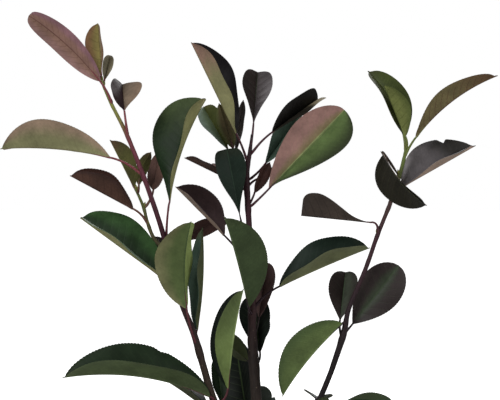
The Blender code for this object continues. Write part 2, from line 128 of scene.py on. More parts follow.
# Leaves that show from the front. root is the height on the limb, base and tip are x and height of the
# blade's two ends, depth is how far each end lies behind the limb there, half is the half width, turn is
# 0 where the upper side faces front and 180 where the underside does, fold lifts each half from flat,
# bow carries the midrib to the left of a line from base to tip, and broad is the place of greatest width,
# or a pair of them for the left and right halves. blunt is 1 for a plain tip, less for a broad one and
# more for a slim one.
Leaf = namedtuple("Leaf", "limb root base tip depth half turn fold bow broad blunt", defaults=(0, 0.56, 1))
LEAVES = {
    "left_low_leaves": [
        Leaf("left", 190, (-65, 226), (-61, 305), (-10, -32), 27, 227, 32, 4),
        Leaf("left", 187, (-56, 206), (-51, 299), (4, 20), 15, -66, 40, -3),
        Leaf("left", 141, (-44, 147), (-177, 164), (-8, -36), 29, 70, 53, -10, 0.52),
        Leaf("left", 139, (-28, 154), (-14, 244), (3, 12), 24, -80, 52, 2),
        Leaf("left", 122, (-33, 140), (-38, 182), (10, 30), 10, 20, 30),
    ],
    "left_middle_leaves": [
        Leaf("left", 283, (-81, 320), (-48, 414), (2, 24), 35, -60, 38, 5, 0.7),
        Leaf("left", 241, (-89, 256), (-161, 308), (3, 17), 28.5, 61, 37.5, 0, 0.5, 0.6),
    ],
    "left_side_leaves": [
        Leaf("side", 332, (-112, 335), (-134, 378), (2, 16), 14, 125, 35),
        Leaf("side", 330, (-108, 337), (-97, 367), (-6, -4), 8, 180, 45, 3),
        Leaf("side", 316, (-95, 333), (-91, 367), (10, 30), 9, 180, 35),
        Leaf("side", 300, (-113, 316), (-170, 346), (-2, -10), 22, 85, 50),
    ],
    "left_top_leaves": [
        Leaf("left", 407, (-143, 431), (-207, 490), (-8, -42), 11.5, 180, 16, -3.5, 0.5, 0.5),
        Leaf("left", 427, (-142, 436), (-145, 483), (2, 3), 13.5, 235, 27, 0, 0.56, 0.7),
        Leaf("left", 423, (-139, 432), (-134, 454), (10, 27), 6, 5, 37),
        Leaf("left", 379, (-121, 404), (-123, 428), (0, 34), 18.5, 26, 37, 0, (0.3, 0.66), 0.7),
        Leaf("left", 344, (-133, 362), (-233, 370), (-3, -15), 27, 123, 36, -4, 0.6),
    ],
    "middle_low_leaves": [
        Leaf("middle", 195, (0, 218), (7, 268), (10, 44), 13, 0, 42),
        Leaf("middle", 172, (1, 187), (-5, 238), (11, 46), 17, -5, 35),
        Leaf("middle", 103, (-8, 115), (-21, 198), (15, 66), 24, -35, 25),
        Leaf("middle", 176, (-9, 179), (-38, 203), (3, 14), 13, 135, 15),
    ],
    "middle_leaves": [
        Leaf("middle", 220, (-9, 227), (-31, 309), (-9, -38), 29, 127, 37, -1, 0.58),
        Leaf("middle", 223, (18, 246), (100, 281), (-2, 6), 26, -68, 48, 1),
        Leaf("middle", 262, (-31, 292), (-75, 336), (3, 12), 22, 62, 37),
        Leaf("middle", 292, (-16, 305), (-29, 370), (-4, -12), 14.5, 10, 15, 0, 0.76, 0.35),
        Leaf("middle", 284, (-27, 304), (-68, 288), (12, 20), 9, 185, 30, -4),
    ],
    "middle_top_leaves": [
        Leaf("middle", 316, (9, 334), (77, 405), (-4, -32), 27, 180, 27, 0, (0.7, 0.57)),
        Leaf("middle", 318, (-4, 330), (10, 358), (2, 3), 7, 30, 30, 1),
        Leaf("middle", 331, (-27, 343), (-67, 362), (4, 16), 13, 98, 16),
        Leaf("middle", 341, (6, 357), (37, 401), (10, 54), 15, 0, 40),
        Leaf("middle", 357, (-20, 383), (-61, 466), (-4, -12), 26, 75, 45.5, 0, 0.6),
        Leaf("middle", 363, (12, 385), (53, 414), (3, 40), 17.5, -20, 58, 0, 0.5, 0.2),
        Leaf("middle", 370, (-5, 391), (-1, 439), (2, 22), 17, 4, 35, 0, 0.72, 0.6),
        Leaf("spur", 364, (-27, 368), (-50, 408), (8, 34), 13, 5, 38, 0, 0.66),
        Leaf("spur", 364, (-23, 370), (-36, 411), (-2, 6), 9, 180, 40),
        Leaf("spur", 362, (-21, 366), (-14, 414), (5, 30), 5, 0, 40),
    ],
    "right_low_leaves": [
        Leaf("right", 200, (73, 216), (78, 259), (11, 38), 15.5, -10, 33, 0, 0.6, 0.8),
        Leaf("right", 203, (84, 212), (126, 265), (8, 12), 20, -8, 8, 0, 0.6, 0.8),
        Leaf("right", 203, (75, 213), (21, 147), (-4, -22), 26, 121, 36, -3, 0.5),
    ],
    "right_middle_leaves": [
        Leaf("right", 292, (102, 304), (38, 310), (-4, 10), 23.5, 122, 35, 0, 0.78, 0.3),
        Leaf("right", 316, (129, 336), (195, 373), (7, 28), 27, -59, 40, 0, 0.5, 1.6),
    ],
    "right_top_leaves": [
        Leaf("right", 366, (130, 383), (98, 440), (6, 26), 17, 38, 30, -5, 0.52),
        Leaf("right", 369, (132, 381), (113, 427), (-5, -18), 15, 120, 37),
        Leaf("right", 360, (141, 380), (215, 436), (-3, -17), 19, 253, 27, 6.5),
        Leaf("right", 345, (112, 365), (151, 319), (-6, -42), 21, 59, 32, -4, 0.4),
    ],
}

# Finish of each listed leaf, in the same order: its upper side's left and right halves, then its
# underside's. A pair names a finish for each whole side.
TINTS = {
    "left_low_leaves": [
        ("dark_green", "dark_green", "bright_green", "tan_green"), ("dull_teal", "olive_green"),
        ("dark_green", "soft_green"), ("black_green", "spring_green"), ("dark_green", "dull_green"),
    ],
    "left_middle_leaves": [("deep_green", "pale_olive"), ("leaf_green", "pale_olive")],
    "left_side_leaves": [
        ("dark_green", "side_olive"), ("maroon", "side_olive"), ("maroon", "brown_pink"), ("maroon", "brown"),
    ],
    "left_top_leaves": [
        ("maroon", "maroon", "mauve_pink", "dusky_pink"), ("bronze", "bronze_olive"),
        ("grey_olive", "pale_olive"), ("lobe_dark", "lobe_pale", "pale_pink", "pale_pink"),
        ("deep_green", "pink_margin"),
    ],
    "middle_low_leaves": [
        ("shade_brown", "dull_green"), ("black_green", "dull_green"), ("black_green", "dull_green"),
        ("dark_green", "olive_green"),
    ],
    "middle_leaves": [
        ("dark_green", "dull_green"), ("teal_green", "tan_leaf"), ("shade_maroon", "pale_pink"),
        ("teal_green", "dull_green"), ("maroon", "red_brown"),
    ],
    "middle_top_leaves": [
        ("dark_green", "dark_green", "leaf_under", "rose"), ("maroon", "brown"), ("maroon", "brown"),
        ("shade_green", "dull_green"), ("ink", "pink_tip"), ("soot", "pale_end", "pale_pink", "pale_pink"),
        ("black_maroon", "bullate_brown", "brown", "brown"),
        ("sage_sheen", "leafy_olive", "pale_olive", "pale_olive"),
        ("maroon", "olive_brown"), ("grey_brown", "brown"),
    ],
    "right_low_leaves": [
        ("black_maroon", "grey_green", "dull_green", "dull_green"), ("black_leaf", "dull_green"),
        ("dark_green", "fresh_green"),
    ],
    "right_middle_leaves": [("black_maroon", "dusk_brown"), ("slate", "pale_pink")],
    "right_top_leaves": [
        ("olive_shade", "olive_leaf", "young_under", "young_under"), ("young_olive", "young_under"),
        ("bronze", "bronze_veined"), ("black_olive", "pale_pink"),
    ],
}
SPARE_TINTS = {
    "low": [("dark_green", "dull_green"), ("teal_green", "olive_green"), ("deep_green", "fresh_green")],
    "middle": [("dark_green", "olive_green"), ("black_maroon", "brown"), ("deep_green", "tan_green")],
    "top": [("bronze", "pink_tip"), ("maroon", "dusky_pink"), ("young_olive", "bronze_olive")],
}

# Habits of single leaves, by their place in the list: how long the tip's point is, how sharp the teeth and
# how deep the quilting are next to a plain leaf's, and a torn nick in the margin.
Nick = namedtuple("Nick", "hand place width depth")
Habit = namedtuple("Habit", "point teeth quilt nick", defaults=(1, 1, 1, None))
HABITS = {
    "left_low_leaves": {1: Habit(1, 0.6), 2: Habit(1, 1.8, 1, Nick(1, 0.38, 0.05, 0.06)), 3: Habit(1, 0.7)},
    "left_middle_leaves": {0: Habit(0, 0.6), 1: Habit(1, 0.6)},
    "left_top_leaves": {0: Habit(0.4, 0.3), 1: Habit(0.8, 0.3), 2: Habit(0, 0.3), 3: Habit(0, 0.3),
                        4: Habit(1, 0.6)},
    "left_side_leaves": {0: Habit(1.3, 0.5)},
    "middle_top_leaves": {0: Habit(0, 0.4), 4: Habit(0.6, 0.4), 5: Habit(0, 0.4), 6: Habit(0, 0.5, 5)},
    "middle_leaves": {3: Habit(0, 0.3)},
    "right_low_leaves": {0: Habit(0, 0.7), 1: Habit(0, 0.7), 2: Habit(1, 1.3)},
    "right_middle_leaves": {0: Habit(0, 0.3), 1: Habit(1, 0.5, 1, Nick(-1, 0.7, 0.045, 0.2))},
    "right_top_leaves": {0: Habit(1.4, 0), 1: Habit(0.5, 0.3), 2: Habit(1.5, 0.6), 3: Habit(1, 0.3)},
}

# Finishes of the leaves, in sRGB: the face, the blush that spreads over it, the veins, then where the blush
# begins and is full, along the blade for "tip" and out from the midrib for "margin", how strongly the side
# veins are drawn, and the gloss.
Finish = namedtuple("Finish", "face blush veins way start full lines gloss",
                    defaults=("tip", 0.86, 1.0, 0.15, 0.14))
UPPER_FINISHES = {
    "deep_green": Finish("1F2E1C", "3E4A2E", "35452C", "tip", 0.45, 0.95, 0.1, 0.1),
    "leaf_green": Finish("233420", "385430", "3D5A36", "margin", 0.25, 0.85, 0.1),
    "dark_green": Finish("1E2B1B", "242E1E", "3A4A2E"),
    "dull_teal": Finish("34453A", "3C4633", "42543F"),
    "teal_green": Finish("1B2820", "20281F", "2E3E32"),
    # Painted light: a lighter copy of the teal green that lifts the shadow a leaf above casts on this leaf.
    "shade_green": Finish("43564A", "3E4C40", "4E6050"),
    "black_green": Finish("161D17", "1A201A", "4A5A3C", lines=0.3),
    # Partly the leaf's green, partly a painted highlight that greys this half's upper side.
    "grey_green": Finish("3D4238", "34322E", "4E5E48", "margin", 0.3, 0.9),
    "ink": Finish("131012", "181416", "2A2A26"),
    "soot": Finish("1D1B19", "1A1A19", "2A2A26"),
    # Painted shade and painted light: one upper side split into a darker half, shaded as it turns from the
    # light, and a pale half lit where the light falls.
    "lobe_dark": Finish("33272A", "2E2324", "2A1F20", "margin", 0.2, 1.0, 0.1, 0.02),
    "lobe_pale": Finish("7C6D5D", "84705F", "665648", "margin", 0.2, 1.0, 0.3),
    "pale_end": Finish("24211C", "8A8068", "3A382E", "tip", 0.55, 0.85, 0.0),
    # Painted highlight: the pale grey face near the base is a broad glossy highlight painted in, fading along
    # the blade to the leaf's own near-black.
    "slate": Finish("656062", "2A2825", "45413F", "tip", 0.42, 0.75, 0.12, 0.5),
    "black_maroon": Finish("28211F", "2B2221", "3D4A38"),
    # Partly a dark brown upper side, partly a painted sheen that lightens this half to grey next to its
    # darker other half.
    "bullate_brown": Finish("443E3F", "4E484A", "38322F", "margin", 0.2, 1.0, 0.3, 0.5),
    # Painted light: a lighter copy of the maroon that lifts the shade this leaf lies in.
    "shade_maroon": Finish("443536", "3A2C2D", "3D3A32"),
    # Painted light: a lighter brown for a leaf that lies in shade, lifting that shade.
    "shade_brown": Finish("5C4846", "54423E", "4A3C38"),
    "black_leaf": Finish("2F3629", "292221", "343F2D", "margin", 0.05, 0.45, 0.2, 0.2),
    "black_olive": Finish("211F18", "1A1714", "3F3F28"),
    "maroon": Finish("38241F", "2C1C1C", "50352C"),
    "grey_brown": Finish("423D3B", "38302E", "504A46"),
    "bronze": Finish("453F22", "45301F", "5E5A34", "margin", 0.2, 1.0),
    # Partly the leaf's grey-green, partly a painted silvery sheen that pales the whole upper side.
    "grey_olive": Finish("7A735E", "7E7462", "66634E"),
    "sage_sheen": Finish("5C6A52", "76867A", "55644C", "margin", 0.35, 1.0, 0.4, 0.3),
    "leafy_olive": Finish("3E4322", "4A4A28", "565A30"),
    # Painted light: a copy of the olive finish for the half that lies in shade, lightened to lift that shade.
    "olive_shade": Finish("454A2C", "363A22", "55602E"),
    "olive_leaf": Finish("3E4624", "383C20", "55602E"),
    "young_olive": Finish("606A34", "465028", "79834A", "margin", 0.5, 1.0, 0.4),
}
UNDER_FINISHES = {
    "dusky_pink": Finish("846659", "886A66", "5C3F38", "margin", 0.1, 0.9, 0.6),
    "mauve_pink": Finish("84655A", "805E64", "64443E", "margin", 0.3, 0.8, 0.55),
    "pale_pink": Finish("8E7A6C", "927C72", "705C52"),
    "rose": Finish("75694C", "8A6A63", "7E8A5A", "margin", 0.05, 0.5, 0.1),
    "pink_tip": Finish("888660", "84685C", "6E6A4A", "tip", 0.5, 0.95, 0.1),
    "pink_margin": Finish("747353", "8C7866", "66634A", "margin", 0.25, 0.95, 0.3),
    "bronze_olive": Finish("807444", "7E5E42", "5E5230", "margin", 0.1, 0.8, 0.55),
    "bronze_veined": Finish("6A6042", "604632", "52342A", "tip", 0.5, 1.0, 0.75),
    "pale_olive": Finish("86855A", "8E8864", "6E704A"),
    "tan_green": Finish("4B5834", "6C6C4C", "3C4A2C", "margin", 0.35, 0.95),
    "tan_leaf": Finish("6C7050", "62694A", "7C8060"),
    # Painted light: the bright yellow-green of light shining through the blade, painted on this underside.
    "bright_green": Finish("8A9A5C", "7E8E54", "A0AE74"),
    "spring_green": Finish("74864F", "5C6A42", "8A9A64", "tip", 0.3, 0.9),
    "soft_green": Finish("4A5639", "505A40", "5E6A4C"),
    "fresh_green": Finish("54633A", "485836", "66754A", "margin", 0.4, 1.0),
    "leaf_under": Finish("657A49", "3C4430", "7A8658", "margin", 0.25, 1.0, 0.12),
    "olive_green": Finish("4C5237", "44503A", "5A6040"),
    "dull_green": Finish("38442C", "414A30", "4C5A3C"),
    "side_olive": Finish("4B4A28", "4A3A2A", "5E6034", "tip", 0.6, 1.0),
    "young_under": Finish("62683A", "50582F", "464E24", "margin", 0.4, 1.0, 0.6),
    "brown": Finish("4A342C", "3A2826", "30201C", "margin", 0.5, 1.1, 0.45),
    "olive_brown": Finish("423A26", "474A2C", "33301E", "margin", 0.3, 1.0),
    "brown_pink": Finish("5E4640", "4C3834", "4A3632"),
    "red_brown": Finish("44302D", "3C2A29", "34231F"),
    "dusk_brown": Finish("3B332E", "352E2B", "282320", "tip", 0.86, 1.0, 0.7),
}

# Colour of each limb's skin by height, in sRGB, of the stalks of each mass, and of the buds.
LIMB_SKINS = {
    "left": [(0, "55493C"), (90, "463A30"), (165, "352A22"), (205, "251917"), (245, "371A22"),
             (318, "421F2A"), (362, "64303C"), (380, "6A3A3C"), (398, "78783E"), (432, "6E7A3E")],
    "middle": [(0, "55493C"), (70, "41372D"), (110, "332A24"), (180, "261E1B"), (215, "2E1B1C"),
               (260, "3E1D26"), (320, "3A1E26"), (384, "2A1B20")],
    "right": [(0, "55493C"), (80, "352B27"), (120, "231B1C"), (180, "1B1416"), (230, "25171C"),
              (290, "3A2027"), (325, "43302C"), (338, "3A3424"), (352, "55612F"), (372, "67763C")],
    "side": [(277, "463C2D"), (305, "4E4C2D"), (334, "5A6331")],
}
STALK_SKINS = {
    "left_low_leaves": "52282E", "left_middle_leaves": "5E2E36", "left_top_leaves": "743A40",
    "left_side_leaves": "5E3E34", "middle_low_leaves": "2C2422", "middle_leaves": "2E1C24",
    "middle_top_leaves": "43222A", "right_low_leaves": "2A1E20", "right_middle_leaves": "4A2A30",
    "right_top_leaves": "66703A",
}
DARK_STALK_SKIN = "33281F"
DARK_STALKS = {("right_top_leaves", 3)}
BUD_SKIN = "6B6A34"


def srgb(code):
    """Turn an sRGB hex colour into the linear values that a shader takes."""
    shares = [int(code[k:k + 2], 16) / 255 for k in (0, 2, 4)]
    return tuple(value / 12.92 if value <= 0.04045 else ((value + 0.055) / 1.055) ** 2.4 for value in shares)


def length_setting(title, size, note, least=0.0):
    """Make one setting that is a length in metres."""
    return FloatProperty(name=title, description=note, default=size, unit="LENGTH", min=least)


def share_setting(title, share, note, most=1.0):
    """Make one setting that is a share."""
    return FloatProperty(name=title, description=note, default=share, subtype="FACTOR", min=0, max=most)


def power_setting(title, watts, note):
    """Make one setting that is a light's power."""
    return FloatProperty(name=title, description=note, default=watts, unit="POWER", min=0)


def colour_setting(title, code, note):
    """Make one colour setting."""
    return FloatVectorProperty(name=title, description=note, default=srgb(code), subtype="COLOR",
                               min=0, max=1)


def face_colours(finishes, note):
    """Make one colour setting for the face of each finish."""
    return {name: colour_setting(name.replace("_", " ").capitalize(), finish.face, note)
            for name, finish in finishes.items()}


class ShrubLeafSizes(bpy.types.PropertyGroup):
    """Sizes of what the leaves' fine shape is made of."""
    tooth_spacing: length_setting("Tooth spacing", 0.0026, "Length of margin that one tooth takes", 0.0005)
    tooth_depth: length_setting("Tooth depth", 0.00032, "How far a tooth stands out")
    vein_spacing: length_setting("Vein spacing", 0.0072, "Length of midrib from one side vein to the next",
                                 0.002)
    vein_relief: length_setting("Vein relief", 0.00006,
                                "Depth of the side veins in the upper side, and their height below")
    rib_relief: length_setting("Midrib relief", 0.0007, "Height of the midrib on the underside")
    thickness: length_setting("Thickness", 0.0005, "Thickness of the blade beside its midrib", 0.0001)
    wave: share_setting("Wave", 0.014, "Height of the margin's waves as a share of the leaf's length", 0.1)


class ShrubLimbSizes(bpy.types.PropertyGroup):
    """Sizes of the relief of the bark."""
    furrow_depth: length_setting("Furrow depth", 0.0005, "Depth of the bark's furrows at the ground")
    grain_depth: length_setting("Grain depth", 0.0001, "Depth of the bark's fine grain")
    node_swelling: share_setting("Node swelling", 0.13, "How much a twig swells where a leaf leaves it")


class ShrubUpperColours(bpy.types.PropertyGroup):
    """Face colours of the leaves' upper sides."""
    __annotations__ = face_colours(UPPER_FINISHES, "Colour of this upper side")


class ShrubUnderColours(bpy.types.PropertyGroup):
    """Face colours of the leaves' undersides."""
    __annotations__ = face_colours(UNDER_FINISHES, "Colour of this underside")


class ShrubStageSettings(bpy.types.PropertyGroup):
    """Camera, light and floor."""
    lens: FloatProperty(name="Lens", default=160, subtype="DISTANCE_CAMERA", min=10,
                        description="Focal length in millimetres, for a frame 36 mm wide")
    key_power: power_setting("Key light", 42, "Power of the large soft light at the front left")
    fill_power: power_setting("Fill light", 13, "Power of the soft light at the right")
    back_power: power_setting("Back light", 24, "Power of the soft light behind")
    room_light: share_setting("Room light", 0.22, "Strength of the even light from all round", 2.0)
    floor_colour: colour_setting("Floor", "EDEDEB", "Colour of the paper that the shrub stands on")


# The growth rule: limbs, and the plain solids that tell whether a spare leaf has room.
def spread(x, y, z):
    """Place a point whose x and height were read from the front, at its depth y."""
    far = 1 + y / -EYE.y
    return Vector((EYE.x + (x - EYE.x) * far, y, EYE.z + (z - EYE.z) * far))


def smooth_route(knots, steps=10):
    """Read a Catmull-Rom curve through the knots, each a place with its radius."""
    rows = [(*spread(x, y, z), radius) for x, y, z, radius in knots]
    rows = [rows[0]] + rows + [rows[-1]]
    route = []
    for k in range(1, len(rows) - 2):
        p0, p1, p2, p3 = rows[k - 1:k + 3]
        for j in range(steps):
            t = j / steps
            terms = zip(p0, p1, p2, p3)
            route.append([0.5 * (2 * b + (c - a) * t + (2 * a - 5 * b + 4 * c - d) * t ** 2
                                 + (3 * b - a - 3 * c + d) * t ** 3) for a, b, c, d in terms])
    route.append(list(rows[-2]))
    return [(Vector(row[:3]), row[3]) for row in route]


class Limb:
    """A limb's smooth middle line, which can be asked for the place and radius at any length."""

    def __init__(self, knots):
        self.route = smooth_route(knots)
        self.lengths = [0.0]
        for (a, _), (b, _) in zip(self.route, self.route[1:]):
            self.lengths.append(self.lengths[-1] + (b - a).length)

    def at(self, length):
        length = min(max(length, 0.0), self.lengths[-1])
        k = max(i for i, value in enumerate(self.lengths[:-1]) if value <= length)
        share = (length - self.lengths[k]) / (self.lengths[k + 1] - self.lengths[k])
        (a, ra), (b, rb) = self.route[k], self.route[k + 1]
        return a.lerp(b, share), ra + (rb - ra) * share

    def station(self, length):
        """Place, radius and direction at a length, for one ring of a tube."""
        place, radius = self.at(length)
        return place, radius, (self.at(length + 2)[0] - self.at(length - 2)[0]).normalized()

    def length_at(self, height):
        for k, ((a, _), (b, _)) in enumerate(zip(self.route, self.route[1:])):
            if b.z >= height or k == len(self.route) - 2:
                share = min(max((height - a.z) / (b.z - a.z), 0.0), 1.0)
                return self.lengths[k] + share * (self.lengths[k + 1] - self.lengths[k])
        return self.lengths[-1]

    def stretch(self, low, high, step=LIMB_STEP, gap=GAP):
        """Places, radii and directions from one height to another, both ends drawn in by half the gap."""
        start = self.length_at(low) + gap / 2
        end = self.length_at(high) - gap / 2
        count = max(2, round((end - start) / step))
        return [self.station(start + (end - start) * k / count) for k in range(count + 1)]


def rings_round(stations, sides, swell=None):
    """Give the ring of points round each station of a tube. swell gives a radius share."""
    side = Vector((1, 0, 0))
    for k, (place, radius, ahead) in enumerate(stations):
        side = (side - ahead * side.dot(ahead)).normalized()
        across = ahead.cross(side)
        ring = []
        for j in range(sides):
            angle = 2 * math.pi * j / sides
            reach = radius * (swell(place, angle, k) if swell else 1)
            ring.append(place + (side * math.cos(angle) + across * math.sin(angle)) * reach)
        yield ring


def tube(stations, sides):
    """Make a plain closed tube along places with radii and directions."""
    bm = bmesh.new()
    rings = [[bm.verts.new(point * MM) for point in ring] for ring in rings_round(stations, sides)]
    for low, high in zip(rings, rings[1:]):
        for j in range(sides):
            bm.faces.new((low[j], low[(j + 1) % sides], high[(j + 1) % sides], high[j]))
    bm.faces.new(list(reversed(rings[0])))
    bm.faces.new(rings[-1])
    bmesh.ops.recalc_face_normals(bm, faces=bm.faces)
    return bm


def blade_width(t, broad, blunt):
    """Share of the full half width at a share t of the blade's length."""
    rise = TIP_BLUNTNESS * broad / (1 - broad)
    peak = broad ** rise * (1 - broad) ** TIP_BLUNTNESS
    share = t ** rise * (1 - t) ** TIP_BLUNTNESS / peak
    return share ** blunt if t > broad else share


def halves(broad):
    """Give the place of greatest width of each half, by its hand."""
    left, right = broad if isinstance(broad, tuple) else (broad, broad)
    return {-1: left, 1: right}


def arc_at(start, middle, end, t):
    """Give the place and direction at a share t of a curve that bends towards a middle point."""
    place = start * (1 - t) ** 2 + middle * 2 * t * (1 - t) + end * t ** 2
    return place, ((middle - start) * (1 - t) + (end - middle) * t).normalized()


def blade_frames(base, tip, toward, turn, bow, stations):
    """Give the midrib's place, direction, upper normal and right-hand side at each station."""
    chord = tip - base
    front = (toward - chord * toward.dot(chord) / chord.length_squared).normalized()
    left = front.cross(chord).normalized()
    angle = math.radians(turn)
    middle = (base + tip) / 2 + left * bow * 2 + front * chord.length * ARCH * 2 * math.cos(angle)
    frames = []
    for t in stations:
        place, ahead = arc_at(base, middle, tip, t)
        facing = (front - ahead * front.dot(ahead)).normalized()
        right = ahead.cross(facing)
        normal = facing * math.cos(angle) + right * math.sin(angle)
        frames.append((place, ahead, normal, ahead.cross(normal)))
    return frames


def plain_blade(frames, length, half, fold, broad, blunt, extra=0.0):
    """Make one plain leaf blade, two halves lifted from its midrib, as a closed solid."""
    bm = bmesh.new()
    lift = math.radians(fold)
    thick = length * THICKNESS + extra
    rings = []
    for t, (place, _, normal, right) in zip(STATIONS, frames):
        place = place + normal * thick / 2
        ring = [place, place - normal * thick / math.cos(lift)]
        for hand in (1, -1):
            outward = right * math.cos(lift) * hand + normal * math.sin(lift)
            upward = normal * math.cos(lift) - right * math.sin(lift) * hand
            reach = max(half * blade_width(t, halves(broad)[hand], blunt), LEAST_REACH) + extra / 2
            ring += [place + outward * reach, place + outward * reach - upward * thick]
        rings.append([bm.verts.new(point * MM) for point in ring])
    loop = (0, 2, 3, 1, 5, 4)
    for near, far in zip(rings, rings[1:]):
        for a, b in zip(loop, loop[1:] + loop[:1]):
            bm.faces.new((near[a], near[b], far[b], far[a]))
    for ring in (rings[0], rings[-1]):
        bm.faces.new((ring[0], ring[2], ring[3], ring[1]))
        bm.faces.new((ring[0], ring[1], ring[5], ring[4]))
    bmesh.ops.recalc_face_normals(bm, faces=bm.faces)
    return bm


def stalk_route(root, frames, steps):
    """Places, thickness and directions of a leaf's stalk from the limb's middle line to the blade."""
    base, ahead = frames[0][0], frames[0][1]
    bend = base - ahead * (base - root).length * 0.5
    stations = []
    for t in steps:
        place, along = arc_at(root, bend, base, t)
        stations.append((place, STALK_RADIUS * (1.15 - 0.25 * t), along))
    return stations


def leaf_solids(shape, extra=0.0):
    """Give one leaf's plain stalk and blade from its shape."""
    root, base, tip, toward, half, turn, fold, bow, broad, blunt = shape
    frames = blade_frames(base, tip, toward, turn, bow, STATIONS)
    stations = stalk_route(root, frames, (0, 0.35, 0.7, 1))
    stations.append((frames[1][0], STALK_RADIUS * 0.7, frames[1][1]))
    blade = plain_blade(frames, (tip - base).length, half, fold, broad, blunt, extra)
    return tube(stations, STALK_SIDES), blade


def listed_shape(leaf, limbs):
    """Give the shape of a leaf that shows from the front."""
    limb = limbs[leaf.limb]
    root, _ = limb.at(limb.length_at(leaf.root))
    base = spread(leaf.base[0], root.y + leaf.depth[0], leaf.base[1])
    tip = spread(leaf.tip[0], root.y + leaf.depth[1], leaf.tip[1])
    return (root, base, tip, Vector((0, -1, 0)), *leaf[5:])


def spare_shape(limb, low, high, dice):
    """Throw the dice for the shape of a leaf of the sides and the back."""
    start, end = limb.length_at(low) + SPARE_MARGIN, limb.length_at(high) - SPARE_MARGIN
    root, _ = limb.at(dice.uniform(start, end))
    free = root.z < FREE_BELOW
    heading = math.radians(dice.uniform(*(LOW_SPREAD if free else BACK_SPREAD)))
    rise = math.radians(dice.uniform(*(LOW_RISE if free else BACK_RISE)))
    length = dice.uniform(*(LOW_LENGTH if free else BACK_LENGTH))
    away = Vector((math.cos(heading), math.sin(heading), 0))
    base = root + away * dice.uniform(*SPARE_STALK) + Vector((0, 0, SPARE_LIFT))
    tip = base + (away * math.cos(rise) + Vector((0, 0, math.sin(rise)))) * length
    turn, fold, bow = (dice.uniform(*limits) for limits in (SPARE_TURN, SPARE_FOLD, SPARE_BOW))
    half = length * SPARE_SLIMNESS * dice.uniform(*SPARE_WIDTHS)
    return (root, base, tip, Vector((0, 0, 1)), half, turn, fold, bow, dice.uniform(*SPARE_BROAD), 1)


def tree_of(bm):
    """Give a search tree of a mesh's faces."""
    return BVHTree.FromBMesh(bm)


def share_shown(bm, trees):
    """Give the share of a leaf's corners that show from the front and stand above the free height."""
    eye = EYE * MM
    shown = 0
    for vert in bm.verts:
        toward = eye - vert.co
        hidden = any(tree.ray_cast(vert.co, toward.normalized(), toward.length)[0] for tree in trees)
        shown += vert.co.z > FREE_BELOW * MM and not hidden
    return shown / len(bm.verts)


@functools.lru_cache(maxsize=1)
def growth():
    """Give the limbs, and each mass's leaf shapes: the listed ones, then the spare ones that find room."""
    limbs = {name: Limb(knots) for name, knots in LIMBS.items()}
    stretches = list(BOUGHS.values()) + list(MASSES.values())
    limb_trees = [tree_of(tube(limbs[limb].stretch(low, high), LIMB_SIDES)) for limb, low, high in stretches]
    shapes = {name: [listed_shape(leaf, limbs) for leaf in LEAVES[name]] for name in MASSES}
    pairs = [leaf_solids(shape) for listed in shapes.values() for shape in listed]
    trees = [tree_of(bm) for pair in pairs for bm in pair]
    blades = [tree_of(leaf) for _, leaf in pairs]
    dice = random.Random(SEED)
    for name, (limb_name, low, high) in MASSES.items():
        wanted = len(shapes[name]) + SPARE_LEAVES[name]
        for _ in range(SPARE_TRIES):
            shape = spare_shape(limbs[limb_name], low, high, dice)
            (stem, leaf), (_, swollen) = leaf_solids(shape), leaf_solids(shape, extra=4 * GAP)
            swollen_tree, stem_tree = tree_of(swollen), tree_of(stem)
            too_low = min(vert.co.z for vert in leaf.verts) < LOWEST * MM
            if too_low or share_shown(leaf, blades) > SPARE_MOST_SHOWN:
                continue
            if any(swollen_tree.overlap(tree) for tree in trees + limb_trees):
                continue
            if any(stem_tree.overlap(tree) for tree in trees):
                continue
            shapes[name].append(shape)
            trees += [stem_tree, tree_of(leaf)]
            blades.append(tree_of(leaf))
            if len(shapes[name]) == wanted:
                break
    return limbs, shapes


# Meshes: small shapes gathered into one piece, each with its own cell of the piece's flat map.
class Gathered:
    """Points and faces of many small shapes. A face holds its points, their places in its cell and a slot."""

    def __init__(self):
        self.points, self.faces, self.values = [], [], []
        self.cells = 0

    def new_cell(self):
        self.cells += 1
        return self.cells - 1

    def point(self, place, value=0.0):
        self.points.append(place * MM)
        self.values.append(value)
        return len(self.points) - 1

    def face(self, corners, places, cell, slot, turned=False):
        if turned:
            corners, places = corners[::-1], places[::-1]
        self.faces.append((corners, places, cell, slot))

    def make(self, name, materials):
        """Turn what was gathered into one object with its maps and materials."""
        mesh = bpy.data.meshes.new(name)
        mesh.from_pydata(self.points, [], [corners for corners, _, _, _ in self.faces])
        mesh.attributes.new("vein", "FLOAT", "POINT").data.foreach_set("value", self.values)
        across = math.ceil(math.sqrt(self.cells))
        down = math.ceil(self.cells / across)
        own, shared = [], []
        for _, places, cell, _ in self.faces:
            for u, v in places:
                own += (u, v)
                shared += ((cell % across + CELL_MARGIN + u * (1 - 2 * CELL_MARGIN)) / across,
                           (cell // across + CELL_MARGIN + v * (1 - 2 * CELL_MARGIN)) / down)
        mesh.uv_layers.new(name="Blade").data.foreach_set("uv", own)
        mesh.uv_layers.new(name="OFBake").data.foreach_set("uv", shared)
        mesh.polygons.foreach_set("material_index", [slot for _, _, _, slot in self.faces])
        for material in materials:
            mesh.materials.append(material)
        mesh.shade_smooth()
        mesh.set_sharp_from_angle(angle=math.radians(SHARP_ANGLE))
        item = bpy.data.objects.new(name, mesh)
        bpy.context.scene.collection.objects.link(item)
        return item


CELL_MARGIN = 0.03
SHARP_ANGLE = 50

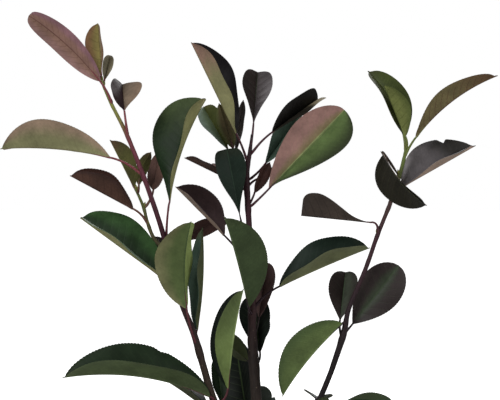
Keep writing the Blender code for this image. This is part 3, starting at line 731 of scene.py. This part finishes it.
# Skin tubes: sides and steps of the trunk, limbs, stalks and buds, how the bark's relief is patterned along
# and round a limb, and the size and place of a bud.
SKIN_SIDES = 28
TRUNK_SKIN_SIDES = 72
TRUNK_SKIN_STEP = 0.9
SKIN_STEP = 1.3
STALK_SKIN_SIDES = 12
STALK_STEPS = 14
RUNOUT = (0.02, 0.05, 0.09, 0.14, 0.2)
FURROW_LENGTH, FURROWS_ROUND = 11, 1.9
GRAIN_LENGTH, GRAIN_ROUND = 2.6, 5.5
BARK_HEIGHT = 190
YOUNG_RELIEF = 0.25
NODE_REACH = 1.6
BUD_SIDES, BUD_STEPS = 10, 9
BUD_LENGTH, BUD_RADIUS, BUD_ABOVE, BUD_RISE = 5.5, 1.1, 1.2, 1.4
SPUR_NODE, SPUR_HEIGHTS = "middle_top_leaves", (356, 366)


def skin_tube(parts, stations, sides, slot, swell=None):
    """Gather a closed tube along places with radii and directions, held above the ground."""
    cell = parts.new_cell()
    rings = [[parts.point(Vector((point.x, point.y, max(point.z, 0.0)))) for point in ring]
             for ring in rings_round(stations, sides, swell)]
    count = len(stations) - 1
    for k, (low, high) in enumerate(zip(rings, rings[1:])):
        for j in range(sides):
            right = (j + 1) % sides
            u, w, v, top = j / sides, (j + 1) / sides, k / count, (k + 1) / count
            places = ((u, v), (w, v), (w, top), (u, top))
            parts.face((low[j], low[right], high[right], high[j]), places, cell, slot)
    for ring, v in ((list(reversed(rings[0])), 0), (rings[-1], 1)):
        parts.face(tuple(ring), tuple((j / sides, v) for j in range(sides)), cell, slot)


def bark_relief(sizes, radius_at, nodes=()):
    """Give a function for skin_tube: furrows and grain that fade up the shrub, and swollen leaf nodes."""
    def swell(place, angle, k):
        radius = radius_at[k]
        ring = Vector((math.cos(angle), math.sin(angle), 0))
        furrow = noise.noise(ring * FURROWS_ROUND + Vector((0, 0, place.z / FURROW_LENGTH)))
        grain = noise.noise(ring * GRAIN_ROUND + Vector((7, 3, place.z / GRAIN_LENGTH)))
        old = YOUNG_RELIEF + (1 - YOUNG_RELIEF) * math.exp(-((place.z / BARK_HEIGHT) ** 2))
        depth = (furrow * abs(furrow) * 2 * sizes.furrow_depth + grain * sizes.grain_depth) * old / MM
        reach = radius + NODE_REACH
        bulge = max((math.exp(-((place - node).length / reach) ** 2) for node in nodes), default=0)
        return 1 + depth / radius + sizes.node_swelling * bulge
    return swell


def flare(place, angle):
    """Swell the trunk's foot into blunt lobes that die out upwards."""
    strength = math.exp(-place.z / FLARE_HEIGHT)
    lobe = 1 + FLARE_LOBE_DEPTH * math.cos(FLARE_LOBES * angle + 0.6) * strength * 2
    return (1 + FLARE_RADIUS / TRUNK_RADIUS * strength) * lobe


# Blades: steps of a tooth, spacing of the columns, the tip's fine shape, how the side veins slant, bend and
# alternate, the half widths where teeth and veins begin and are full, and limits of the waves and the arch.
TOOTH_STEPS = 3
COLUMN_SPACING = 2.8
COLUMN_CROWDING = 1.3
BLADE_START = 0.004
POINT_FROM = 0.982
POINT_HALF = 0.7
VEIN_SLANT, VEIN_BEND, VEIN_STAGGER, VEIN_FROM = 0.17, 1.35, 0.25, 0.62
DETAIL_FROM, DETAIL_FULL = 1.5, 7
WAVE_HEIGHTS, WAVE_COUNTS, SECTION_ARCH = (0.6, 1.2), (1.2, 2.2), (0.15, 0.4)
RIB_WIDTH = 0.95
QUILTING = 0.05
RIM_OFFSET = 0.012


def smooth_step(value, low, high):
    """Rise smoothly from 0 at low to 1 at high."""
    share = min(max((value - low) / (high - low), 0.0), 1.0)
    return share * share * (3 - 2 * share)


def outline(t, broad, blunt, half, point):
    """Half width of a blade, with a short point where it has one, at a share t of its length."""
    full = 1 - (1 - POINT_FROM) * point
    body = half * blade_width(min(t / full, 1.0), broad, blunt)
    spine = POINT_HALF * point * min(1.0, (1 - t) / (1 - POINT_FROM))
    return max(body, spine if t > 0.5 else 0.0, 0.3)


def nick_depth(habit, t, hand):
    """Share of a half's width that a torn nick takes out of its margin."""
    if not habit.nick or habit.nick.hand != hand:
        return 0.0
    return habit.nick.depth * max(0.0, 1 - abs(t - habit.nick.place) / habit.nick.width)


def half_section(lift, arch, columns):
    """Give the places and slopes across one half of a blade, which is steeper beside the midrib."""
    section, x, z, last = [], 0.0, 0.0, 0.0
    for column in range(columns + 1):
        share = (column / columns) ** COLUMN_CROWDING
        slope = lift * (1 + arch * (1 - share - last))
        x += math.cos(slope) * (share - last)
        z += math.sin(slope) * (share - last)
        section.append((share, x, z, lift * (1 + arch * (1 - 2 * share)) if column else 0.0))
        last = share
    return section


def leaf_blade(parts, shape, slots, dice, sizes, habit):
    """Gather one leaf blade: veined upper and lower sheets that meet in a thin toothed margin."""
    _, base, tip, toward, half, turn, fold, bow, broad, blunt = shape
    length = (tip - base).length
    rows = max(7, round(length / (sizes.tooth_spacing / MM))) * TOOTH_STEPS
    columns = max(4, round(half / COLUMN_SPACING))
    veins = max(6, round(length / (sizes.vein_spacing / MM)))
    stations = [BLADE_START + (1 - BLADE_START) * k / rows for k in range(rows + 1)]
    frames = blade_frames(base, tip, toward, turn, bow, stations)
    section = half_section(math.radians(fold), dice.uniform(*SECTION_ARCH), columns)
    wave, waves = sizes.wave * length * dice.uniform(*WAVE_HEIGHTS), dice.uniform(*WAVE_COUNTS)
    starts = {-1: dice.uniform(0, 2 * math.pi), 1: dice.uniform(0, 2 * math.pi)}
    tooth_depth, relief = sizes.tooth_depth / MM * habit.teeth, sizes.vein_relief / MM * habit.quilt
    broadest = halves(broad)
    upper, lower = [], []
    for k, (t, (place, _, normal, right)) in enumerate(zip(stations, frames)):
        widths = {hand: outline(t, broadest[hand], blunt, half, habit.point) for hand in (-1, 1)}
        grown = smooth_step(min(widths.values()), DETAIL_FROM, DETAIL_FULL)
        tooth = tooth_depth * grown * ((k % TOOTH_STEPS) / (TOOTH_STEPS - 1) - 0.5)
        top_row, low_row = [], []
        for column in range(-columns, columns + 1):
            hand = -1 if column < 0 else 1
            share, x, z, slope = section[abs(column)]
            width = widths[hand]
            reach = (width + tooth * share ** 3) * (1 - nick_depth(habit, t, hand))
            outward = right * hand
            upward = normal * math.cos(slope) - outward * math.sin(slope)
            swing = wave * share ** 2 * grown * math.sin(2 * math.pi * waves * t + starts[hand])
            middle = place + (outward * x + normal * z) * reach + upward * swing
            beside = min(share * 14, 1.0) * VEIN_STAGGER * hand
            phase = veins * (t - VEIN_SLANT * share ** VEIN_BEND * width / half) + beside
            near = abs(phase % 1.0 - 0.5) * 2
            vein = smooth_step(near, VEIN_FROM, 1.0) * (1 - share ** 4) * min(1.0, share * 9) * grown
            rib = math.exp(-(share * reach / (RIB_WIDTH * (1.15 - 0.8 * t))) ** 2)
            thick = sizes.thickness / MM * (0.5 - 0.2 * share)
            quilt = QUILTING * habit.quilt * (1 - near ** 2) * 4 * share * (1 - share) * grown
            top = thick - rib * 0.35 * sizes.rib_relief / MM * (1 - 0.6 * t) - vein * relief + quilt
            below = thick + rib * sizes.rib_relief / MM * (1 - 0.75 * t) + vein * relief
            top_row.append(parts.point(middle + upward * top, phase))
            low_row.append(parts.point(middle - upward * below, phase))
        upper.append(top_row)
        lower.append(low_row)
    shares = [(0.5 + 0.5 * math.copysign(section[abs(c)][0], c)) for c in range(-columns, columns + 1)]
    top_cell, low_cell = parts.new_cell(), parts.new_cell()
    for k in range(rows):
        v, w = stations[k], stations[k + 1]
        for c in range(2 * columns):
            hand = 0 if c < columns else 1
            places = ((shares[c], v), (shares[c + 1], v), (shares[c + 1], w), (shares[c], w))
            corners = (upper[k][c], upper[k][c + 1], upper[k + 1][c + 1], upper[k + 1][c])
            parts.face(corners, places, top_cell, slots[hand])
            corners = (lower[k][c], lower[k + 1][c], lower[k + 1][c + 1], lower[k][c + 1])
            parts.face(corners, (places[0], places[3], places[2], places[1]), low_cell, slots[2 + hand])
        for c, out, hand in ((0, -RIM_OFFSET, 0), (2 * columns, RIM_OFFSET, 1)):
            corners = (upper[k][c], upper[k + 1][c], lower[k + 1][c], lower[k][c])
            places = ((shares[c], v), (shares[c], w), (shares[c] + out, w), (shares[c] + out, v))
            parts.face(corners, places, top_cell, slots[hand], turned=c > 0)
    for k, v in ((0, 0), (rows, 1)):
        for c in range(2 * columns):
            corners = (upper[k][c], lower[k][c], lower[k][c + 1], upper[k][c + 1])
            places = ((shares[c], v), (shares[c], v), (shares[c + 1], v), (shares[c + 1], v))
            parts.face(corners, places, top_cell, slots[0 if c < columns else 1], turned=k > 0)


def leaf_stalk(parts, shape, slot):
    """Gather a stalk that is thick where it leaves the twig and runs out along the blade's midrib."""
    root, base, tip, toward, _, turn, _, bow, _, _ = shape
    frames = blade_frames(base, tip, toward, turn, bow, (0.0, *RUNOUT))
    stations = []
    route = stalk_route(root, frames, [k / STALK_STEPS for k in range(STALK_STEPS + 1)])
    for k, (place, radius, along) in enumerate(route):
        stations.append((place, radius * min(0.5 + k * 0.25, 1 + 0.5 * math.exp(-k / 3)), along))
    for k, (place, ahead, normal, _) in enumerate(frames[1:]):
        stations.append((place - normal * 0.35, STALK_RADIUS * (0.85 - 0.13 * k), ahead))
    skin_tube(parts, stations, STALK_SKIN_SIDES, slot)


def bud(parts, shape, slot):
    """Gather the small pointed bud in the angle above a leaf's stalk."""
    root, base = shape[0], shape[1]
    place = root + Vector((0, 0, BUD_ABOVE))
    direction = ((base - root).normalized() + Vector((0, 0, BUD_RISE))).normalized()
    stations = []
    for k in range(BUD_STEPS + 1):
        t = k / BUD_STEPS
        wide = math.sin(math.pi * min(0.12 + t * 0.88, 0.985)) ** 0.8
        stations.append((place + direction * BUD_LENGTH * t, max(BUD_RADIUS * wide, 0.08), direction))
    skin_tube(parts, stations, BUD_SIDES, slot)


# Materials. Each starts from what the real surface is. Patterns' sizes and spacings are millimetres, and most
# of a noise lies between its low and high.
PATCH_SIZE = 17
SPECK_SIZE = 2.4
LEAF_CELL_SIZE = 1.5
STREAK_SIZE = 1.3
STREAK_STRETCH = (1.0, 1.0, 0.16)
PORE_SPACING = 5.5
PORE_COLOUR = "8A7B66"
FIBRE_SIZE = 6
NOISE_LOW, NOISE_HIGH = 0.3, 0.7
BARK_ROUGHNESS, TENDER_ROUGHNESS = 0.78, 0.6
SMOOTH = {"interpolation_type": "SMOOTHSTEP"}


def add_node(tree, kind, inputs=(), **settings):
    """Add a node with its settings. Its inputs, in their order or by name, are set, or are linked to a socket
    or to the first output of another node."""
    item = tree.nodes.new(f"ShaderNode{kind}")
    for name, value in settings.items():
        setattr(item, name, value)
    for key, value in inputs.items() if isinstance(inputs, dict) else enumerate(inputs):
        if isinstance(value, bpy.types.Node):
            value = value.outputs[0]
        if isinstance(value, bpy.types.NodeSocket):
            tree.links.new(value, item.inputs[key])
        else:
            item.inputs[key].default_value = value
    return item


def new_material(name):
    """Give an empty material's tree and its shader, which is linked to the output."""
    material = bpy.data.materials.new(name)
    material.use_nodes = True
    tree = material.node_tree
    tree.nodes.clear()
    shader = add_node(tree, "BsdfPrincipled")
    add_node(tree, "OutputMaterial", {"Surface": shader})
    return material, tree, shader


def per_mm(size):
    """Scale that makes one cell of a pattern this many millimetres wide."""
    return 1 / (size * MM)


def rgba(code):
    return (*srgb(code), 1)


def leaf_material(name, finish, face, glossy):
    """Leaf cuticle as grown. The waxed upper side is glossy and slightly quilted, so it takes broad cool
    highlights between its veins, and the underside is matte, with raised veins in another tint."""
    material, tree, shader = new_material(name)
    room = add_node(tree, "TexCoord").outputs["Object"]
    patches = add_node(tree, "TexNoise",
                       {"Vector": room, "Scale": per_mm(PATCH_SIZE), "Detail": 3.0, "Roughness": 0.55})
    specks = add_node(tree, "TexNoise", {"Vector": room, "Scale": per_mm(SPECK_SIZE), "Detail": 2.0})
    blade = add_node(tree, "UVMap", uv_map="Blade")
    place = add_node(tree, "SeparateXYZ", (blade,))
    signed = add_node(tree, "Math", (place.outputs["X"], 2.0, -1.0), operation="MULTIPLY_ADD")
    aside = add_node(tree, "Math", (signed,), operation="ABSOLUTE")
    # The blush spreads with an uneven edge, along the blade or out from the midrib.
    way = aside if finish.way == "margin" else place.outputs["Y"]
    uneven = add_node(tree, "Math", (patches, 0.36, -0.18), operation="MULTIPLY_ADD")
    moved = add_node(tree, "Math", (way, uneven), operation="ADD")
    blush = add_node(tree, "MapRange", (moved, finish.start, finish.full), **SMOOTH)
    tint = add_node(tree, "Mix", {"Factor": blush, "A": (*face, 1), "B": rgba(finish.blush)},
                    data_type="RGBA")
    # Side veins run where the counted phase is whole, and fade towards the margin.
    phase = add_node(tree, "Attribute", attribute_name="vein").outputs["Fac"]
    within = add_node(tree, "Math", (phase,), operation="FRACT")
    from_vein = add_node(tree, "Math", (within, -0.5), operation="ADD")
    near = add_node(tree, "Math", (from_vein,), operation="ABSOLUTE")
    line = add_node(tree, "MapRange", (near, 0.415, 0.5), **SMOOTH)
    faint = add_node(tree, "MapRange", (aside, 0.55, 1.0, finish.lines, 0.0))
    side_vein = add_node(tree, "Math", (line, faint), operation="MULTIPLY")
    rib = add_node(tree, "MapRange", (aside, 0.022, 0.06, 0.85, 0.0), **SMOOTH)
    ribs = add_node(tree, "Math", (side_vein, rib), operation="MAXIMUM")
    veined = add_node(tree, "Mix", {"Factor": ribs, "A": tint.outputs["Result"], "B": rgba(finish.veins)},
                      data_type="RGBA")
    bright = add_node(tree, "MapRange", (patches, NOISE_LOW, NOISE_HIGH, 0.8, 1.24))
    grainy = add_node(tree, "MapRange", (specks, NOISE_LOW, NOISE_HIGH, 0.93, 1.07))
    value = add_node(tree, "Math", (bright, grainy), operation="MULTIPLY")
    final = add_node(tree, "HueSaturation", {"Color": veined.outputs["Result"], "Value": value})
    net = add_node(tree, "TexVoronoi", {"Vector": room, "Scale": per_mm(LEAF_CELL_SIZE)},
                   feature="DISTANCE_TO_EDGE")
    cells = add_node(tree, "Bump", {"Height": net, "Strength": 0.25 if glossy else 0.35, "Distance": 0.00012})
    crease = add_node(tree, "Bump", {"Height": line, "Strength": 0.3, "Distance": 0.0002, "Normal": cells},
                      invert=glossy)
    low, high = (0.4, 0.54) if glossy else (0.62, 0.78)
    rough = add_node(tree, "MapRange", (patches, NOISE_LOW, NOISE_HIGH, low, high))
    tree.links.new(final.outputs["Color"], shader.inputs["Base Color"])
    tree.links.new(rough.outputs[0], shader.inputs["Roughness"])
    tree.links.new(crease.outputs["Normal"], shader.inputs["Normal"])
    shader.inputs["IOR"].default_value = 1.45
    shader.inputs["Specular IOR Level"].default_value = finish.gloss
    return material


def skin_material(name, stops, roughness):
    """Young bark as grown: corky, streaked and dotted with pale pores on old wood, smooth and tinted above.
    Its colour follows the stops up the limb."""
    material, tree, shader = new_material(name)
    room = add_node(tree, "TexCoord").outputs["Object"]
    up = add_node(tree, "SeparateXYZ", (room,)).outputs["Z"]
    lowest, highest = stops[0][0], stops[-1][0]
    height = add_node(tree, "MapRange", (up, lowest * MM, highest * MM))
    ramp = add_node(tree, "ValToRGB", (height,))
    elements = ramp.color_ramp.elements
    while len(elements) < len(stops):
        elements.new(0.5)
    for element, (at, code) in zip(elements, stops):
        element.position = (at - lowest) / (highest - lowest)
        element.color = rgba(code)
    drawn = add_node(tree, "VectorMath", (room, STREAK_STRETCH), operation="MULTIPLY")
    streaks = add_node(tree, "TexNoise",
                       {"Vector": drawn, "Scale": per_mm(STREAK_SIZE), "Detail": 5.0, "Roughness": 0.65})
    pores = add_node(tree, "TexVoronoi", {"Vector": room, "Scale": per_mm(PORE_SPACING)})
    dots = add_node(tree, "MapRange", (pores, 0.07, 0.15, 0.35, 0.0), **SMOOTH)
    old = add_node(tree, "MapRange", (up, 0.12, 0.26, 1.0, 0.12))
    shown = add_node(tree, "Math", (dots, old), operation="MULTIPLY")
    streaked = add_node(tree, "MapRange", (streaks, 0.3, 0.72, 0.68, 1.4))
    bark = add_node(tree, "HueSaturation", {"Color": ramp, "Value": streaked})
    dotted = add_node(tree, "Mix", {"Factor": shown, "A": bark, "B": rgba(PORE_COLOUR)}, data_type="RGBA")
    furrows = add_node(tree, "Bump", {"Height": streaks, "Strength": 0.6, "Distance": 0.0003})
    raised = add_node(tree, "Bump", {"Height": shown, "Strength": 0.5, "Distance": 0.0003, "Normal": furrows})
    worn = add_node(tree, "MapRange", (old, 0.12, 1.0, roughness - 0.18, roughness))
    tree.links.new(dotted.outputs["Result"], shader.inputs["Base Color"])
    tree.links.new(worn.outputs[0], shader.inputs["Roughness"])
    tree.links.new(raised.outputs["Normal"], shader.inputs["Normal"])
    shader.inputs["Specular IOR Level"].default_value = 0.25
    return material


def made_once(name, make, *settings):
    """Give the material of this name, which is made on its first use."""
    return bpy.data.materials.get(name) or make(name, *settings)


def skin_of(limb_name):
    """The skin of one limb."""
    return made_once(f"{limb_name}_bark", skin_material, LIMB_SKINS[limb_name], BARK_ROUGHNESS)


def tender_skin(name, code):
    """Green tissue as grown: the thin smooth skin of a stalk or bud, with a soft gloss."""
    return made_once(name, skin_material, [(0, code), (500, code)], TENDER_ROUGHNESS)


def side_material(name, upper):
    """The finish of one side of a leaf."""
    scene = bpy.context.scene
    finishes, settings, kind = ((UPPER_FINISHES, scene.shrub_upper_colours, "waxed") if upper
                                else (UNDER_FINISHES, scene.shrub_under_colours, "matte"))
    face = tuple(getattr(settings, name))
    return made_once(f"{kind}_leaf_{name}", leaf_material, finishes[name], face, upper)


def dress(item, node):
    """Let a piece stand for a node of the frame."""
    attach(item, "root")
    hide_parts(node)
    return item


class SHRUB_OT_bark(bpy.types.Operator):
    """Cover the trunk and the boughs with bark"""
    bl_idname = "shrub.bark"
    bl_label = "Trunk and boughs"

    def execute(self, context):
        sizes = context.scene.shrub_limb_sizes
        limbs, _ = growth()
        trunk = Gathered()
        stations = limbs["middle"].stretch(0, TRUNK_TOP, TRUNK_SKIN_STEP, gap=0)
        relief = bark_relief(sizes, [radius for _, radius, _ in stations])
        skin_tube(trunk, stations, TRUNK_SKIN_SIDES, 0,
                  lambda place, angle, k: relief(place, angle, k) * flare(place, angle))
        dress(trunk.make("trunk_bark", [skin_of("middle")]), "trunk")
        for name, (limb_name, low, high) in BOUGHS.items():
            bough = Gathered()
            stations = limbs[limb_name].stretch(low, high, SKIN_STEP, gap=0)
            relief = bark_relief(sizes, [radius for _, radius, _ in stations])
            skin_tube(bough, stations, SKIN_SIDES * 2, 0, relief)
            dress(bough.make(f"{name}_bark", [skin_of(limb_name)]), name)
        return {"FINISHED"}


class SHRUB_OT_twigs(bpy.types.Operator):
    """Grow each mass's twig with its leaf stalks and buds"""
    bl_idname = "shrub.twigs"
    bl_label = "Twigs and stalks"

    def execute(self, context):
        sizes = context.scene.shrub_limb_sizes
        limbs, shapes = growth()
        for name, (limb_name, low, high) in MASSES.items():
            twigs = Gathered()
            stations = limbs[limb_name].stretch(low, high, SKIN_STEP, gap=0)
            nodes = [shape[0] for shape in shapes[name]]
            relief = bark_relief(sizes, [radius for _, radius, _ in stations], nodes)
            skin_tube(twigs, stations, SKIN_SIDES, 0, relief)
            if name == SPUR_NODE:
                skin_tube(twigs, limbs["spur"].stretch(*SPUR_HEIGHTS, SKIN_STEP, gap=0), SKIN_SIDES, 0)
            for k, shape in enumerate(shapes[name]):
                leaf_stalk(twigs, shape, 3 if (name, k) in DARK_STALKS else 1)
                bud(twigs, shape, 2)
            skins = [skin_of(limb_name), tender_skin(f"{name}_stalk", STALK_SKINS[name]),
                     tender_skin("bud", BUD_SKIN)]
            if any(mass == name for mass, _ in DARK_STALKS):
                skins.append(tender_skin("dark_stalk", DARK_STALK_SKIN))
            dress(twigs.make(f"{name.removesuffix('_leaves')}_twigs", skins), name)
        return {"FINISHED"}


class SHRUB_OT_leaves(bpy.types.Operator):
    """Grow each mass's leaf blades"""
    bl_idname = "shrub.leaves"
    bl_label = "Leaves"

    def execute(self, context):
        sizes = context.scene.shrub_leaf_sizes
        _, shapes = growth()
        for name, listed in shapes.items():
            blades, materials = Gathered(), []
            layer = name.split("_")[1] if name.split("_")[1] in SPARE_TINTS else "middle"
            for k, shape in enumerate(listed):
                dice = random.Random(f"{name} {k}")
                tint = TINTS[name][k] if k < len(TINTS[name]) else dice.choice(SPARE_TINTS[layer])
                if len(tint) == 2:
                    tint = (tint[0], tint[0], tint[1], tint[1])
                slots = []
                for finish, upper in zip(tint, (True, True, False, False)):
                    material = side_material(finish, upper)
                    if material not in materials:
                        materials.append(material)
                    slots.append(materials.index(material))
                habit = HABITS.get(name, {}).get(k, Habit())
                leaf_blade(blades, shape, slots, dice, sizes, habit)
            dress(blades.make(f"{name.removesuffix('_leaves')}_blades", materials), name)
        return {"FINISHED"}


# The stage, in metres: where the lights aim, each one's place and width, and the floor.
AIM = Vector((0, 0, 0.3))
LIGHTS = {"key": ((-1.3, -1.9, 1.7), 1.3), "fill": ((1.9, -1.3, 0.8), 1.2), "back": ((0.7, 2.0, 1.5), 1.4)}
FLOOR_RADIUS = 60
FLOOR_DROP = 0.0005
FLOOR_GLOW = 0.4
FLOOR_FADE = (0.5, 2.0)


class SHRUB_OT_stage(bpy.types.Operator):
    """Set the floor, the soft lights and the camera"""
    bl_idname = "shrub.stage"
    bl_label = "Stage"

    def execute(self, context):
        settings = context.scene.shrub_stage
        make_floor(settings)
        make_room(settings)
        for name, (place, width) in LIGHTS.items():
            light = bpy.data.lights.new(f"{name}_light", "AREA")
            light.shape, light.size, light.energy = "DISK", width, getattr(settings, f"{name}_power")
            lamp = bpy.data.objects.new(f"{name}_light", light)
            lamp.location = place
            lamp.rotation_euler = (AIM - Vector(place)).to_track_quat("-Z", "Y").to_euler()
            context.scene.collection.objects.link(lamp)
        lens = bpy.data.cameras.new("camera")
        lens.sensor_width, lens.lens, lens.clip_end = 36, settings.lens, 200
        camera = bpy.data.objects.new("camera", lens)
        camera.location = EYE * MM
        camera.rotation_euler = (math.radians(90), 0, 0)
        context.scene.collection.objects.link(camera)
        context.scene.camera = camera
        context.scene.view_settings.view_transform = "Standard"
        return {"FINISHED"}


def make_floor(settings):
    """Seamless backdrop paper, uncoated: matte and pale, and bright enough to photograph as white."""
    bm = bmesh.new()
    bmesh.ops.create_circle(bm, cap_ends=True, segments=96, radius=FLOOR_RADIUS)
    mesh = bpy.data.meshes.new("floor")
    bm.to_mesh(mesh)
    bm.free()
    floor = bpy.data.objects.new("floor", mesh)
    floor.location.z = -FLOOR_DROP
    bpy.context.scene.collection.objects.link(floor)
    material, tree, shader = new_material("backdrop_paper")
    room = add_node(tree, "TexCoord").outputs["Object"]
    fibres = add_node(tree, "TexNoise", {"Vector": room, "Scale": per_mm(FIBRE_SIZE)})
    bump = add_node(tree, "Bump", {"Height": fibres, "Strength": 0.1, "Distance": 0.0002})
    tree.links.new(bump.outputs["Normal"], shader.inputs["Normal"])
    shader.inputs["Base Color"].default_value = (*settings.floor_colour, 1)
    shader.inputs["Roughness"].default_value = 0.9
    shader.inputs["Specular IOR Level"].default_value = 0.1
    away = add_node(tree, "VectorMath", (room,), operation="LENGTH").outputs["Value"]
    fade = add_node(tree, "MapRange", (away, *FLOOR_FADE, FLOOR_GLOW, 1.0))
    seen = add_node(tree, "LightPath").outputs["Is Camera Ray"]
    glow = add_node(tree, "Math", (seen, fade), operation="MULTIPLY")
    shader.inputs["Emission Color"].default_value = (1, 1, 1, 1)
    tree.links.new(glow.outputs[0], shader.inputs["Emission Strength"])
    mesh.materials.append(material)


def make_room(settings):
    """White surroundings whose light on the shrub is dim and even."""
    world = bpy.data.worlds.new("room")
    world.use_nodes = True
    tree = world.node_tree
    tree.nodes.clear()
    seen = add_node(tree, "LightPath").outputs["Is Camera Ray"]
    strength = add_node(tree, "MapRange", {"Value": seen, "To Min": settings.room_light, "To Max": 1.0})
    back = add_node(tree, "Background", {"Color": (1, 1, 1, 1), "Strength": strength})
    add_node(tree, "OutputWorld", {"Surface": back})
    bpy.context.scene.world = world


class SHRUB_PT_panel(bpy.types.Panel):
    """Buttons and settings of the shrub"""
    bl_idname = "SHRUB_PT_panel"
    bl_label = "Young shrub"
    bl_space_type = "VIEW_3D"
    bl_region_type = "UI"
    bl_category = "Shrub"

    def draw(self, context):
        for operator in OPERATORS:
            self.layout.operator(operator.bl_idname)
        for group in SETTINGS:
            box = self.layout.box()
            settings = getattr(context.scene, group)
            for name in settings.bl_rna.properties.keys():
                if name not in ("rna_type", "name"):
                    box.prop(settings, name)


OPERATORS = (SHRUB_OT_bark, SHRUB_OT_twigs, SHRUB_OT_leaves, SHRUB_OT_stage)
SETTINGS = {
    "shrub_leaf_sizes": ShrubLeafSizes, "shrub_limb_sizes": ShrubLimbSizes,
    "shrub_upper_colours": ShrubUpperColours, "shrub_under_colours": ShrubUnderColours,
    "shrub_stage": ShrubStageSettings,
}


def register():
    for group in (*SETTINGS.values(), *OPERATORS, SHRUB_PT_panel):
        bpy.utils.register_class(group)
    for name, group in SETTINGS.items():
        setattr(bpy.types.Scene, name, PointerProperty(type=group))


def unregister():
    for name in SETTINGS:
        delattr(bpy.types.Scene, name)
    for group in reversed((*SETTINGS.values(), *OPERATORS, SHRUB_PT_panel)):
        bpy.utils.unregister_class(group)


def main():
    """Make every piece and the stage."""
    register()
    bpy.ops.shrub.bark()
    bpy.ops.shrub.twigs()
    bpy.ops.shrub.leaves()
    bpy.ops.shrub.stage()


if __name__ == "__main__":
    main()
